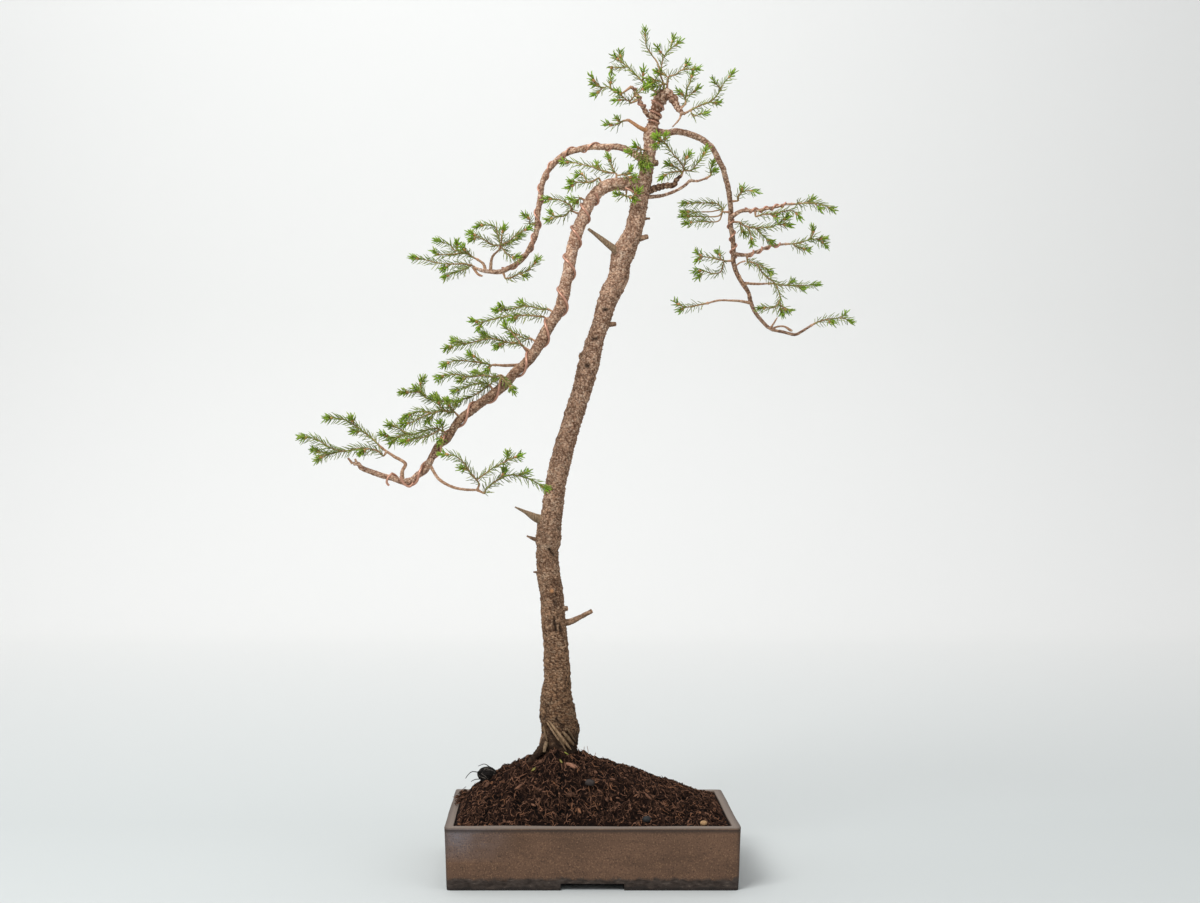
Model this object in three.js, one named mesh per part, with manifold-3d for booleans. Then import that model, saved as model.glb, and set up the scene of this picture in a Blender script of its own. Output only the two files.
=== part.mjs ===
// Spruce bonsai in an unglazed slab pot. Millimetres, +Z up, the front faces -Y.
// The origin is the centre of the pot's underside, on the surface that it stands on.
import * as THREE from "three";
import { mergeVertices } from "three/addons/utils/BufferGeometryUtils.js";
import Module from "manifold-3d";

const wasm = await Module();
wasm.setup();

// Driving dimensions of the pot, its foot, its drain holes and their screens
const POT = { width: 280, depth: 190, height: 60, wall: 8, draft: 2.2, corner: 4 };
const FOOT = { height: 7, width: 14, cutWidth: 60, cutHeight: 6.6 };
const FLOOR = 8;
const DRAIN = { radius: 11, offset: 62, sides: 16 };
const SCREEN = { side: 40, thickness: 1.5, bar: 5, holes: 2 };

// Driving dimensions of the tree
const GAP = 0.3;
const HEAVY_WIRE = { radius: 1.25, sides: 4, off: 0.5 };
const LIGHT_WIRE = { radius: 0.9, sides: 3, off: 0.6 };
const SIDES = { trunk: 10, main_left: 7, upper_left: 5, right: 5, thin: 4, peg: 3 };
const RINGS_PER_ROW = { trunk: 1, limb: 0.8 };
const PEG = { radius: 1.25, tip: 1.0, length: 1.6, seat: 0.4, straight: 2.5 };
const STEM = { root: 1.0, fork: 0.35, tip: 0.8, sides: 3, band: 1.7, twist: 0.35 };
const WHORL = { pitch: 13, dense: 10.5, skip: 6 };
const NEEDLE = {
  length: 10, shortest: 0.82, spread: 0.3, sweepRoot: 0.95, sweepTip: 0.5, wobble: 0.3,
  radius: 0.8, tip: 0.1, bare: 4,
};

// How far a flattened facet may lie from the surface that it stands for
const FLATTEN = { wood: 0.12, fine: 0.05 };

// The tree's points are measured on the plane of the trunk, across and up, as they
// are seen from the eye. Each is then pushed along its line of sight to its depth.
const EYE = { across: -34.4, up: 387, distance: 1615 };

// Trunk from the root stump to the top, which bends over: across, up, back, radius
const TRUNK = [
  [-31, 62, 0, 14], [-31, 90, 0, 17.5], [-31, 112, 0, 18], [-31, 119, 0, 17.5],
  [-30, 135, 0, 19], [-33, 155, 0, 18.3], [-34, 170, 0, 15.7], [-33, 186, 0, 13.5],
  [-34, 206, 1, 12.8], [-35, 227, 2, 12.6], [-37, 250, 2, 12.2], [-39, 275, 3, 12],
  [-42, 295, 3, 11.8], [-43, 316, 4, 11.2], [-42, 327, 4, 13], [-41, 340, 4, 12.1],
  [-38, 356, 4, 11.1], [-36, 372, 4, 10.7], [-33, 392, 4, 10.7], [-26, 420, 3, 10.3],
  [-18, 447, 2, 9.9], [-10, 472, 1, 9.9], [-2, 501, 0, 10.8], [6, 530, 0, 8.6],
  [11, 545, 0, 9.1], [15, 560, -1, 9.2], [20, 574, -2, 10.4], [28, 589, -2, 10.6],
  [30, 604, -3, 10.3], [33, 614, -3, 11.8], [42, 633, -4, 9.2], [46, 648, -4, 8.9],
  [49, 663, -5, 8.4], [55, 691, -5, 7.2], [59, 714, -5, 6.3], [60, 735, -6, 6.5],
  [63, 742, -6, 5.8], [65, 754, -6, 5.8], [67, 761, -7, 6.4], [70, 768, -7, 6.8],
  [75, 773, -8, 6.2], [82, 769, -10, 4.8], [88, 758, -11, 3], [93, 753, -12, 2.2],
];

// Main limbs: across, up, back, radius
const MAIN_LEFT = [
  [53, 681, -6, 6.6], [40.5, 683, -10, 6.5], [28, 683, -13, 6.4], [19.5, 682, -15, 6.3],
  [11, 678, -17, 6.2], [4.5, 672, -18, 6.2], [-1, 664, -20, 6.1], [-7, 651, -21, 6],
  [-11.5, 640, -22, 6], [-16, 627, -24, 6], [-19.5, 611, -25, 6], [-22, 596, -27, 6],
  [-25, 583, -29, 6], [-27, 571.5, -31, 5.9], [-30.5, 558, -33, 5.8], [-36.5, 548, -35, 5.6],
  [-44, 536, -38, 5.5], [-51, 523, -40, 5.3], [-58.5, 511, -42, 5.1], [-66, 502.5, -44, 5],
  [-75, 495, -46, 4.9], [-86.5, 481.5, -49, 4.7], [-100, 471, -52, 4.5],
  [-109, 464.5, -54, 4.4], [-120.5, 455.5, -57, 4.2], [-131.5, 446.5, -60, 4.1],
  [-137.5, 437.5, -62, 4], [-143, 428, -64, 3.9], [-152, 421.5, -66, 3.8],
  [-156, 414.5, -67, 3.7], [-161.5, 404, -69, 3.5], [-165.5, 397, -70, 3.4],
  [-172.5, 392, -71, 3.3], [-178.5, 387, -72, 3.1], [-185.5, 385.5, -73, 3],
  [-190.5, 386, -74, 2.9], [-199, 389, -75, 2.8], [-207, 391, -77, 2.7],
  [-215.5, 394, -78, 2.6], [-224, 397, -80, 2.5], [-229.5, 399.5, -81, 2.4],
  [-232, 403, -81.5, 2.2], [-237, 403.5, -82, 1.8],
];
const UPPER_LEFT = [
  [52, 708, -3, 3.8], [39, 716, 4, 3.4], [28, 720, 8, 3.3], [15, 720, 12, 3.3],
  [-1, 720, 16, 3.2], [-13.5, 717, 19, 3.2], [-23.5, 714, 21, 3.1], [-32, 708, 23, 3.1],
  [-39, 700.5, 25, 3], [-45, 692, 27, 3], [-48.5, 682, 28, 2.9], [-50, 670, 30, 2.9],
  [-52, 657.5, 31, 2.9], [-53, 648, 32, 2.8], [-53.5, 639, 33, 2.8], [-55.5, 629.5, 34, 2.7],
  [-60, 620.5, 35, 2.7], [-65.5, 611, 36, 2.6], [-72, 604.5, 36, 2.6], [-81.5, 599, 36, 2.5],
  [-89, 595.5, 36, 2.5], [-101.5, 595.5, 35, 2.3], [-108, 596.5, 34, 2], [-113, 598, 33, 1.6],
];
const RIGHT = [
  [60, 736, -5, 3.9], [77, 734, -1, 3.4], [85, 735.5, 2, 3.3], [93, 734.5, 4, 3.2],
  [101.5, 732, 7, 3.2], [110, 728.5, 10, 3.1], [116, 724.5, 12, 3.1], [121.5, 719.5, 14, 3],
  [125.5, 712.5, 16, 3], [129, 705.5, 18, 2.9], [132.5, 699, 20, 2.9], [135, 689.5, 22, 2.8],
  [138, 678, 24, 2.8], [139.5, 667, 26, 2.7], [140.5, 656.5, 28, 2.7], [140, 643.5, 30, 2.6],
  [142, 631, 32, 2.6], [143, 618, 34, 2.5], [143, 605.5, 36, 2.5], [145.5, 596, 38, 2.4],
  [151.5, 584.5, 40, 2.3], [158, 574.5, 43, 2.2], [160.5, 564.5, 45, 2.1], [164, 556, 47, 2],
  [171.5, 546, 50, 1.9], [180.5, 538, 53, 1.8], [193, 535, 56, 1.7], [205, 532.5, 60, 1.6],
  [212, 536, 62, 1.4], [220, 541, 64, 1.2],
];
const APEX_LEFT = [
  [65, 751, -6, 3], [57.5, 752.5, -13, 2.4], [52, 761, -16, 2.2], [48.5, 768, -18, 2],
  [45, 775, -19, 1.8], [41, 780.5, -20, 1.5],
];
const HUB = [
  [57, 676, -4, 3.6], [69.5, 680, -10, 3.2], [76.5, 681.5, -13, 2.9], [83.5, 682, -16, 2.6],
  [86, 687, -17, 2.4], [90.5, 691, -18, 1.8],
];
const HUB_LOW = [
  [54, 670, -4, 2], [69.5, 671, 2, 1.7], [80, 674, 8, 1.6], [89, 678, 10, 1.5],
  [95, 682, 11, 1.5], [99.5, 686, 12, 1.6], [107, 686, 15, 1.3], [115.5, 688.5, 18, 1.2],
];
const RIGHT_UPPER = [
  [141, 650.5, 28, 2], [151, 656, 24, 1.8], [158, 656.5, 20, 1.7], [170.5, 657, 16, 1.6],
  [180, 659, 12, 1.5], [187.5, 660.5, 9, 1.4], [194, 662.5, 6, 1.3], [200.5, 663, 4, 1.2],
];
const RIGHT_LOWER = [
  [143, 613, 35, 1.9], [152, 612, 40, 1.7], [158.5, 612.5, 44, 1.6], [165, 615, 48, 1.6],
  [171.5, 617.5, 52, 1.5], [180.5, 621.5, 56, 1.4], [187, 622, 60, 1.3], [194.5, 623, 64, 1.2],
];

// Cut stubs, deadwood and knots that stand out of the trunk: across, up, back, radius
const STUBS = [
  [[-37, 243, 2, 3.6], [-21.5, 245, 0, 3.4], [-10, 250, -3, 2.6], [1.5, 256, -6, 2.2]],
  [[-36, 258, 2, 2.6], [-23, 258.5, -2, 2.4]],
  [[-38.5, 276, 0, 3.2], [-38.5, 276, -11.5, 2.6]],
  [[-42, 345, 4, 6], [-54, 349, 1, 4], [-65, 355, -3, 1.8], [-75.5, 360, -6, 0.7]],
  [[-45, 326, 4, 3.4], [-56, 328, 2, 2], [-63.5, 331, 1, 0.8]],
  [[-44, 294, 3, 2.4], [-57, 295, 2, 0.7]],
  [[33, 612, -4, 5], [20, 622, -10, 3.4], [8, 632, -14, 2.2], [-2, 638, -18, 1.1]],
  [[44, 627, -4, 2.8], [52, 629, -6, 2.4], [57.5, 630.5, -8, 2.1]],
  [[48, 648, -4, 1.8], [59.5, 648.5, -5, 0.7]],
  [[12, 542, -1, 2.8], [25.5, 543, -3, 1.9]],
  [[0, 510, 0, 5], [-11, 511, -1, 3.2]],
  [[58, 704, -5, 3.2], [67.5, 704, -7, 2.6]],
  [[-44, 132, 0, 5], [-47, 122, -2, 4.2], [-48.5, 108, -3, 3.2]],
];

// Bare twigs: the limb that each grows on, how far its tip swings back, its radii at
// root and tip, and its points across and up
const TWIGS = {
  inner_stub: ["trunk", -8, [2.3, 1.7], [[60, 736], [52, 738], [38, 747]]],
  pad_high: ["upper_left", -8, [1.5, 1.1], [[-100, 595.5], [-98, 610], [-91, 617.5]]],
  pad_low: ["upper_left", 8, [1.5, 1.1], [[-105, 596], [-107, 603], [-112, 607]]],
  far_left: ["main_left", -4, [1.8, 1.2],
    [[-188, 386], [-188, 396], [-185, 403], [-197, 411], [-208, 418.5]]],
  low_left: ["main_left", -12, [1.6, 1.1],
    [[-161.5, 404], [-152.5, 389], [-143.5, 382.5], [-134.5, 379], [-125.5, 377.5],
      [-113, 377]]],
  mid_left: ["main_left", 6, [1.5, 1.1], [[-66, 502.5], [-84, 501.5], [-94.5, 502]]],
  right_back: ["right", 16, [1.4, 1], [[152, 584], [168, 583], [178, 583.5]]],
  right_low: ["right", -14, [1.4, 1],
    [[160.5, 564], [149, 566], [139, 566.5], [128, 566.5], [118, 564]]],
  dead_thin: ["trunk", -3, [1, 0.6], [[91, 754], [89, 748], [82, 740]]],
  dead_low: ["right", -6, [1.1, 0.6], [[180, 538.5], [187, 549.5]]],
};

// Sprays of needles. Each grows on a limb or twig. A stem is a list that starts with
// how far its tip swings back, followed by its points across and up. The first stem
// carries the others. Bare is the stretch without needles at its root, and sideBare
// that of the others.
const SPRAYS = {
  crown_top: { on: "trunk", bare: 30, stems: [
    [-6, [73, 783], [70, 792], [67.5, 803], [60.5, 813.5], [56, 820.5], [55, 828], [54.5, 839]],
    [12, [70, 792], [72, 806], [74, 811], [78, 816], [91, 826.5]],
    [-5, [74, 811], [69.5, 815.5], [66, 821]],
    [6, [80, 818], [82, 825], [84, 831]],
    [-9, [70, 793], [65.5, 796]] ] },
  crown_front: { on: "trunk", bare: 4, stems: [
    [-15, [77, 782], [78.5, 790.5], [84.5, 792], [91.5, 797], [102, 798], [110, 799]],
    [5, [93, 797.3], [98.5, 806]] ] },
  crown_left: { on: "trunk", bare: 6, stems: [
    [24, [64, 776], [58, 782], [52, 785.5], [47, 790.5], [42, 795], [38, 799.5], [32.5, 804],
      [30, 812], [29.5, 817]],
    [3, [33, 804], [26, 809], [22, 812]],
    [10, [37, 800.5], [29.5, 799], [21, 799.5], [21.5, 793]],
    [-8, [52, 785.5], [52.5, 790.5], [53.5, 799.5]] ] },
  crown_low_left: { on: "apex_left", bare: 4, stems: [
    [-10, [43, 765], [38, 766.5], [29, 767], [23, 766]],
    [-8, [36, 767], [30, 773], [26, 778]],
    [-16, [40, 766], [46, 773], [58, 782]] ] },
  crown_far_left: { on: "apex_left", bare: 4, stems: [
    [12, [35, 776], [32, 774], [24, 775.5], [17.5, 780.5], [12, 779], [5.5, 782], [0, 783]],
    [6, [12, 779], [6, 773.5], [2, 772.5]],
    [-4, [11, 780], [3, 787], [0, 792.5]],
    [-8, [20, 779], [20.5, 790]] ] },
  crown_under: { on: "inner_stub", bare: 2, stems: [
    [4, [35, 746.5], [28, 743], [21, 742], [14, 743.5]],
    [-5, [30, 744], [25, 750]] ] },
  crown_right: { on: "trunk", bare: 4, stems: [
    [16, [97, 755], [108.5, 761], [121, 766], [127, 772.5], [131, 779.5], [134, 785],
      [140, 791], [143, 795.5]],
    [-8, [100, 757], [103, 751], [110, 753], [118, 755]],
    [8, [119, 765], [126, 764], [131, 765]],
    [-9, [130, 778], [125, 784], [122, 788]] ] },
  crown_back: { on: "trunk", bare: 5, stems: [
    [16, [93, 761], [95, 767], [96.5, 777.5], [100, 786.5], [103.5, 797]],
    [6, [96, 771], [100, 772.5], [109, 780]],
    [-4, [95, 768], [90, 774], [86, 777]] ] },
  mid_hub: { on: "hub", bare: 3, stems: [
    [14, [92, 694], [100.5, 696.5], [105, 701], [108, 705], [112, 710], [116.5, 719.5]],
    [-4, [94, 695], [95.5, 708], [100.5, 715]],
    [-8, [93, 694.6], [86, 699.5], [81, 702], [74.5, 703.5]],
    [-14, [93, 694.6], [84.5, 695.5], [76, 692.5], [69.5, 688]],
    [-20, [95, 697], [90, 704.5], [85.5, 709.5], [80, 716.5], [72, 726], [63, 730]],
    [-4, [74, 724], [76, 733]] ] },
  mid_right: { on: "hub_low", bare: 2, stems: [
    [10, [118, 690], [120, 696.5], [122, 702], [123, 707]],
    [-6, [119.5, 695], [126, 697]] ] },
  mid_left: { on: "trunk", bare: 3, stems: [
    [-18, [54, 717, -9], [50, 718, -13], [43, 723, -18]],
    [-4, [49, 718], [41, 714], [36, 717]],
    [-4, [51, 717.5], [49, 706], [54, 698]] ] },
  inner_top: { on: "main_left", bare: 4, stems: [
    [12, [26, 691], [16, 694.5], [8, 698], [-1, 701], [-11, 703], [-16, 704.5], [-30, 704.5]],
    [4, [9, 697.6], [6, 704]],
    [8, [24, 692], [22, 700], [19, 708], [17, 712]],
    [-6, [25, 691.5], [33, 692.5], [39.5, 694.5], [40, 700]] ] },
  inner_front: { on: "main_left", bare: 3, stems: [
    [-18, [10, 686], [3, 686], [-5, 684.5], [-13.5, 684.5], [-23.5, 677.5]],
    [-4, [-13, 684.5], [-22, 686]],
    [6, [-3, 685], [-9, 693], [-15, 691.5]] ] },
  inner_back: { on: "main_left", bare: 3, stems: [
    [12, [-8, 668], [-12, 667], [-17, 667], [-22, 669]],
    [4, [-11, 667], [-16, 663]] ] },
  inner_low: { on: "main_left", bare: 3, stems: [
    [-22, [-16, 655], [-19, 660], [-24, 664], [-34.5, 668], [-47, 667.5]],
    [6, [-18.5, 658.5], [-26, 651], [-33.5, 650], [-45, 646]],
    [3, [-35, 649.6], [-41, 656]] ] },
  inner_under: { on: "main_left", bare: 3, stems: [
    [-12, [36, 675], [31, 672], [24, 674]],
    [-8, [34, 673.5], [41, 669], [46, 667]] ] },
  pad_top: { on: "pad_high", bare: 2, stems: [
    [-8, [-90, 619.5], [-89, 627], [-88, 635], [-85, 641.5]],
    [12, [-90, 621], [-92.5, 631.5], [-95, 640], [-107, 642], [-115, 640.5]],
    [-18, [-89.7, 622], [-82.5, 625], [-76, 630.5], [-67.5, 636], [-58.5, 640]],
    [14, [-89.8, 621], [-84, 622], [-78, 625], [-68.5, 632.5]],
    [-14, [-90, 620.5], [-83, 613], [-78, 609.5], [-70.5, 610]],
    [-16, [-90, 621], [-98, 622], [-104, 626], [-111, 629.5], [-122, 635]],
    [-5, [-112, 630], [-121.5, 627]] ] },
  pad_inner: { on: "upper_left", bare: 3, stems: [
    [-10, [-58, 643], [-61, 648], [-67.5, 653]] ] },
  pad_fan: { on: "pad_low", bare: 2, stems: [
    [8, [-114, 608], [-119, 611], [-129.5, 615.5], [-137, 617.5], [-140.5, 622], [-155.5, 627]],
    [-8, [-119, 611], [-125, 616], [-130, 622]],
    [-6, [-133, 616.5], [-133.5, 627]],
    [-12, [-127, 614.4], [-136, 613], [-145, 612.5], [-153.5, 613], [-157, 617]] ] },
  pad_long: { on: "upper_left", bare: 3, stems: [
    [-24, [-116, 600], [-126, 603], [-133, 603], [-143.5, 603], [-152.5, 604], [-166.5, 607.5],
      [-179.5, 610]],
    [26, [-119, 601], [-127.5, 597], [-135, 594.5], [-148, 589]],
    [-7, [-141, 603], [-148, 597]] ] },
  pad_under: { on: "upper_left", bare: 3, stems: [
    [-14, [-86, 591], [-79, 589.5], [-70.5, 593.5], [-62, 597], [-56.5, 603], [-51, 609.5]],
    [-4, [-71, 593.2], [-63, 590]] ] },
  lower_a: { on: "main_left", bare: 3, stems: [
    [26, [-39, 556], [-47.5, 557.5], [-60, 560.5], [-69, 560.5], [-84, 557], [-96.5, 557]],
    [-4, [-83, 557.2], [-92, 562]],
    [8, [-62, 560.7], [-71, 565]] ] },
  lower_b: { on: "main_left", bare: 3, stems: [
    [-18, [-45, 549], [-51, 550.5], [-61, 551.5], [-82, 551], [-92, 549], [-110, 545],
      [-120.5, 547]],
    [-4, [-108, 545.5], [-112.5, 537]],
    [-8, [-70, 551.5], [-80, 547]] ] },
  lower_c: { on: "main_left", bare: 3, stems: [
    [20, [-58, 527.5], [-62, 528], [-67, 529], [-72.5, 532.5], [-85, 540], [-86.5, 545]],
    [5, [-72, 532], [-80, 532]] ] },
  lower_d: { on: "main_left", bare: 3, dense: true, stems: [
    [-20, [-65, 519], [-70.5, 523.5], [-82, 524.5], [-95.5, 528], [-104.5, 528],
      [-122.5, 523.5], [-133, 522], [-146.5, 517.5]],
    [5, [-124, 523.2], [-138.5, 526.5]],
    [-10, [-84, 524.8], [-95, 520]],
    [9, [-98, 528], [-108, 533]] ] },
  lower_e: { on: "mid_left", bare: 2, stems: [
    [14, [-97, 502], [-103, 503], [-109, 505], [-115, 509.5], [-122.5, 514]],
    [-10, [-106, 504], [-115, 505], [-131.5, 506.5], [-140, 505], [-148.5, 500.5]],
    [-5, [-98, 502], [-105.5, 495]] ] },
  lower_f: { on: "main_left", bare: 3, dense: true, stems: [
    [-24, [-88, 491, -9], [-95.5, 490, -12], [-104.5, 491.5, -15], [-124, 490.5], [-133, 492.5],
      [-144.5, 491.5], [-154.5, 488]],
    [8, [-106, 491.5], [-116, 495]],
    [-8, [-122, 490.5], [-132, 486]],
    [-7, [-91, 490.5], [-84, 485, -4], [-76, 475, -7]] ] },
  lower_g: { on: "main_left", bare: 3, dense: true, stems: [
    [24, [-99, 479.5], [-104, 483.5], [-113.5, 483.5], [-122.5, 481], [-138.5, 474.5]],
    [10, [-99, 483.5], [-94, 490]],
    [2, [-100, 484], [-112, 474], [-124, 468.5], [-137, 466], [-154, 466], [-164, 469],
      [-173, 477], [-176.5, 480]],
    [5, [-164, 469], [-170, 481], [-167, 490]],
    [-6, [-171, 475], [-190, 474.5]],
    [-6, [-148, 466], [-158, 472]] ] },
  clump_high: { on: "main_left", bare: 3, dense: true, stems: [
    [-16, [-134, 453], [-140, 455], [-148, 457], [-158, 454], [-171, 455.5], [-187.5, 448.5]],
    [-5, [-160, 454], [-171, 448.5], [-180, 444], [-190, 443]],
    [4, [-156, 454], [-164, 444]],
    [8, [-137, 454], [-136, 461], [-131, 466]] ] },
  clump_low: { on: "main_left", bare: 3, dense: true, stems: [
    [18, [-148, 436], [-153, 438.5], [-162.5, 437.5], [-175.5, 433], [-189, 431.5],
      [-198.5, 429], [-210, 434]],
    [5, [-190, 431.3], [-201, 423]],
    [6, [-182, 432.3], [-194.5, 440], [-203.5, 442.5]],
    [-24, [-151, 435.5], [-163, 431], [-176, 428], [-189, 425]] ] },
  far_high: { on: "far_left", bare: 2, dense: true, stems: [
    [16, [-210, 420.5], [-219.5, 429.5], [-228, 436], [-236, 442], [-248.5, 448], [-266, 449]],
    [6, [-228, 436], [-238, 435]],
    [-5, [-236, 442], [-240, 451]] ] },
  far_tip: { on: "far_left", bare: 3, dense: true, stems: [
    [-14, [-205, 413.5], [-211, 415], [-219.5, 418], [-236, 418], [-244.5, 416], [-253, 417],
      [-261, 420], [-275.5, 428.5], [-291.5, 429.5]],
    [4, [-248, 416.3], [-261, 413.5], [-278.5, 417.5]],
    [-7, [-258, 414.2], [-267, 411], [-275.5, 406]],
    [-8, [-222, 418], [-231, 413]] ] },
  low_left: { on: "low_left", bare: 4, stems: [
    [-14, [-112, 380], [-114, 387], [-120.5, 395], [-126.5, 404], [-135.5, 411], [-150.5, 413]],
    [12, [-114, 387], [-105.5, 393], [-97.5, 399], [-83, 407], [-83, 416]],
    [-4, [-92, 402], [-80, 408], [-68, 412]],
    [-6, [-122, 397], [-131, 399]] ] },
  low_right: { on: "low_left", bare: 3, stems: [
    [24, [-109, 375], [-104, 378], [-97.5, 384], [-80.5, 392], [-70.5, 391], [-61, 388],
      [-42, 377]],
    [-4, [-92, 387], [-88, 392], [-85, 399]],
    [6, [-72, 391.3], [-62, 396]] ] },
  right_top: { on: "right_upper", bare: 2, dense: true, stems: [
    [-14, [203.5, 663], [208.5, 663.5], [218.5, 664], [231, 662.5], [245, 656.5]],
    [4, [216, 664], [224, 669]],
    [-5, [224, 663.6], [231, 657]] ] },
  right_under: { on: "right_upper", bare: 3, stems: [
    [-16, [165, 653], [172.5, 652.5], [182, 653], [200.5, 656.5], [205.5, 654], [210.5, 648]],
    [-5, [180, 652.8], [189, 648.5]] ] },
  right_high: { on: "right", bare: 4, stems: [
    [-14, [145, 666], [148, 671], [151, 674.5], [157, 676.5], [167.5, 674.5]],
    [-4, [150.5, 674], [152, 681]] ] },
  right_mid: { on: "right", bare: 4, dense: true, stems: [
    [-22, [146, 645], [152, 642.5], [158.5, 640], [167.5, 639], [184, 641.5], [199, 652]],
    [-4, [187, 643], [201, 641.5]],
    [-6, [158, 640.2], [160, 633], [162, 621.5]],
    [6, [165, 639.2], [174, 630], [183.5, 623.5]],
    [8, [149, 643.6], [151, 637], [156, 631.5]] ] },
  right_inner: { on: "right", bare: 4, sideBare: 22, dense: true, stems: [
    [18, [135.5, 655], [131.5, 659], [126, 663.5], [112.5, 664], [91, 663.5]],
    [8, [132, 658], [121.5, 655.5], [107.5, 655], [91, 654.5]],
    [-16, [133.5, 656.5], [128, 651], [107, 650.5], [91, 651]],
    [-20, [132.8, 656.8], [128, 646], [110, 645.5], [94, 643.5]] ] },
  right_low_inner: { on: "right", bare: 4, stems: [
    [-18, [138, 606], [131.5, 607], [120, 609.5], [111, 611], [105.5, 616.5]],
    [-3, [113, 610.8], [105.5, 605.5]],
    [4, [131, 607], [129, 613], [126, 617]],
    [16, [134, 606.4], [130, 595], [121.5, 593.5], [114, 596], [103, 595.5]],
    [4, [114, 596], [106, 588.5]] ] },
  right_out: { on: "right_lower", bare: 2, dense: true, stems: [
    [16, [197.5, 623], [209, 624], [216, 626.5], [226.5, 627.5], [237, 621]],
    [-5, [218, 626.8], [222.5, 633], [222, 641.5]],
    [-6, [202, 623.3], [207.5, 619.5], [220, 617]],
    [-3, [226, 627.5], [236, 629]] ] },
  right_hang: { on: "right_lower", bare: 3, dense: true, stems: [
    [-24, [157, 607.5], [160.5, 605], [168, 602.5], [174.5, 599], [182, 593]],
    [-10, [166, 603.2], [174, 592], [184.5, 583.5], [189.5, 571], [190, 562], [192, 551]],
    [-4, [190, 562], [196, 557], [201, 555]],
    [-6, [189.6, 568], [185, 560], [176, 559], [167, 558.5]] ] },
  right_back: { on: "right_back", bare: 2, stems: [
    [14, [181, 583.5], [191.5, 582], [206.5, 581.5], [215, 581.5], [229, 583]],
    [-5, [206, 581.5], [215, 577]],
    [5, [196, 582], [204, 587]] ] },
  right_low: { on: "right_low", bare: 2, stems: [
    [-10, [115.5, 563.5], [103, 561], [94.5, 560], [88, 562.5], [83, 567]],
    [4, [96, 560.2], [88, 556]] ] },
  right_end: { on: "right", bare: 2, stems: [
    [8, [222.5, 542.5], [230, 546], [242.5, 548.5], [253.5, 548.5], [262.5, 544.5]],
    [3, [250, 548.5], [256, 554]],
    [-4, [236, 547.3], [244, 543]] ] },
};

// Copper wires: the limb that each is wound on, the stretch of it from 0 to 1, the
// pitch (below 0 for the other hand), the turn at its start, the segments in a turn
// and the wire's kind
const WIRES = {
  wire_main_left: { on: "main_left", stretch: [0.12, 0.86], pitch: 38.5, start: 0,
    segments: 8, ...HEAVY_WIRE },
  wire_upper_left: { on: "upper_left", stretch: [0.1, 0.86], pitch: 25, start: 0,
    segments: 8, ...LIGHT_WIRE },
  wire_right: { on: "right", stretch: [0.505, 0.61], pitch: -13, start: 0.32,
    segments: 7, ...LIGHT_WIRE },
  wire_apex: { on: "trunk", stretch: [0.84, 0.905], pitch: 9, start: 0.9,
    segments: 8, ...LIGHT_WIRE },
  wire_apex_left: { on: "apex_left", stretch: [0.35, 0.9], pitch: 9, start: 0.6,
    segments: 7, ...LIGHT_WIRE },
  wire_right_upper: { on: "right_upper", stretch: [0.22, 0.9], pitch: 11, start: 0.2,
    segments: 7, ...LIGHT_WIRE },
  wire_right_lower: { on: "right_lower", stretch: [0.25, 0.9], pitch: 11.5, start: 0.45,
    segments: 7, ...LIGHT_WIRE },
};

// Soil: the height of its ridge from left to right, how it falls to front and back,
// and what lies on it
const SOIL = { edge: 57.5, columns: 12, rows: 10, fall: 1.7, hole: 0.4, stumpRows: 8 };
const RIDGE = [
  [-132, 58], [-118, 78], [-104, 90], [-77, 103], [-55, 111], [-31, 117], [-8, 114],
  [15, 105], [34, 100], [60, 91], [85, 83], [105, 75], [122, 66], [132, 58],
];
const CLOD = { x: -104, y: -6, radius: 9, squash: 0.8, detail: 1 };
const PEBBLES = {
  pale: { x: 106, y: -80, radius: 3.6, squash: 0.7, detail: 0 },
  dark: { x: 52, y: -79, radius: 4.4, squash: 0.7, detail: 0 },
};
const LYING = { narrow: 0.9, sunk: 0.45 };

// Materials
const STONEWARE = { color: "#70574a", roughness: 0.85, metalness: 0 };
const PEAT = { color: "#3a2219", roughness: 1, metalness: 0 };
const BARK = { color: "#7d6457", roughness: 0.9, metalness: 0 };
const GREEN = { color: "#55803a", roughness: 0.6, metalness: 0 };
const COPPER = { color: "#a5705c", roughness: 0.45, metalness: 0.6 };
const PLASTIC = { color: "#2c2f2e", roughness: 0.7, metalness: 0 };
const BLACK_FIBRE = { color: "#181513", roughness: 1, metalness: 0 };
const PALE_STONE = { color: "#c9bda2", roughness: 0.8, metalness: 0 };
const DARK_STONE = { color: "#332e2b", roughness: 0.8, metalness: 0 };

const tree = new THREE.Group();

function addPiece(name, geometry, material) {
  const mesh = new THREE.Mesh(geometry, new THREE.MeshStandardMaterial(material));
  mesh.name = name;
  tree.add(mesh);
}

// Solids and geometry
function positionOnly(geometry) {
  const bare = geometry.clone();
  bare.deleteAttribute("normal");
  bare.deleteAttribute("uv");
  return mergeVertices(bare, 1e-4);
}

function solidOf(geometry) {
  const merged = positionOnly(geometry);
  return new wasm.Manifold(new wasm.Mesh({
    numProp: 3,
    vertProperties: new Float32Array(merged.attributes.position.array),
    triVerts: new Uint32Array(merged.index.array),
  }));
}

function geometryOf(solid) {
  const mesh = solid.getMesh();
  const geometry = new THREE.BufferGeometry();
  geometry.setAttribute("position", new THREE.BufferAttribute(mesh.vertProperties, 3));
  geometry.setIndex(new THREE.BufferAttribute(mesh.triVerts, 1));
  geometry.computeVertexNormals();
  return geometry;
}

function largestBody(solid) {
  const bodies = solid.decompose();
  return bodies.reduce((most, body) => (body.volume() > most.volume() ? body : most));
}

function fuse(solids) {
  return solids.reduce((whole, solid) => whole.add(solid));
}

// A seeded random number from 0 to 1
function randomFrom(seed) {
  let state = seed;
  return () => {
    state = (state * 1664525 + 1013904223) % 4294967296;
    return state / 4294967296;
  };
}

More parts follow.
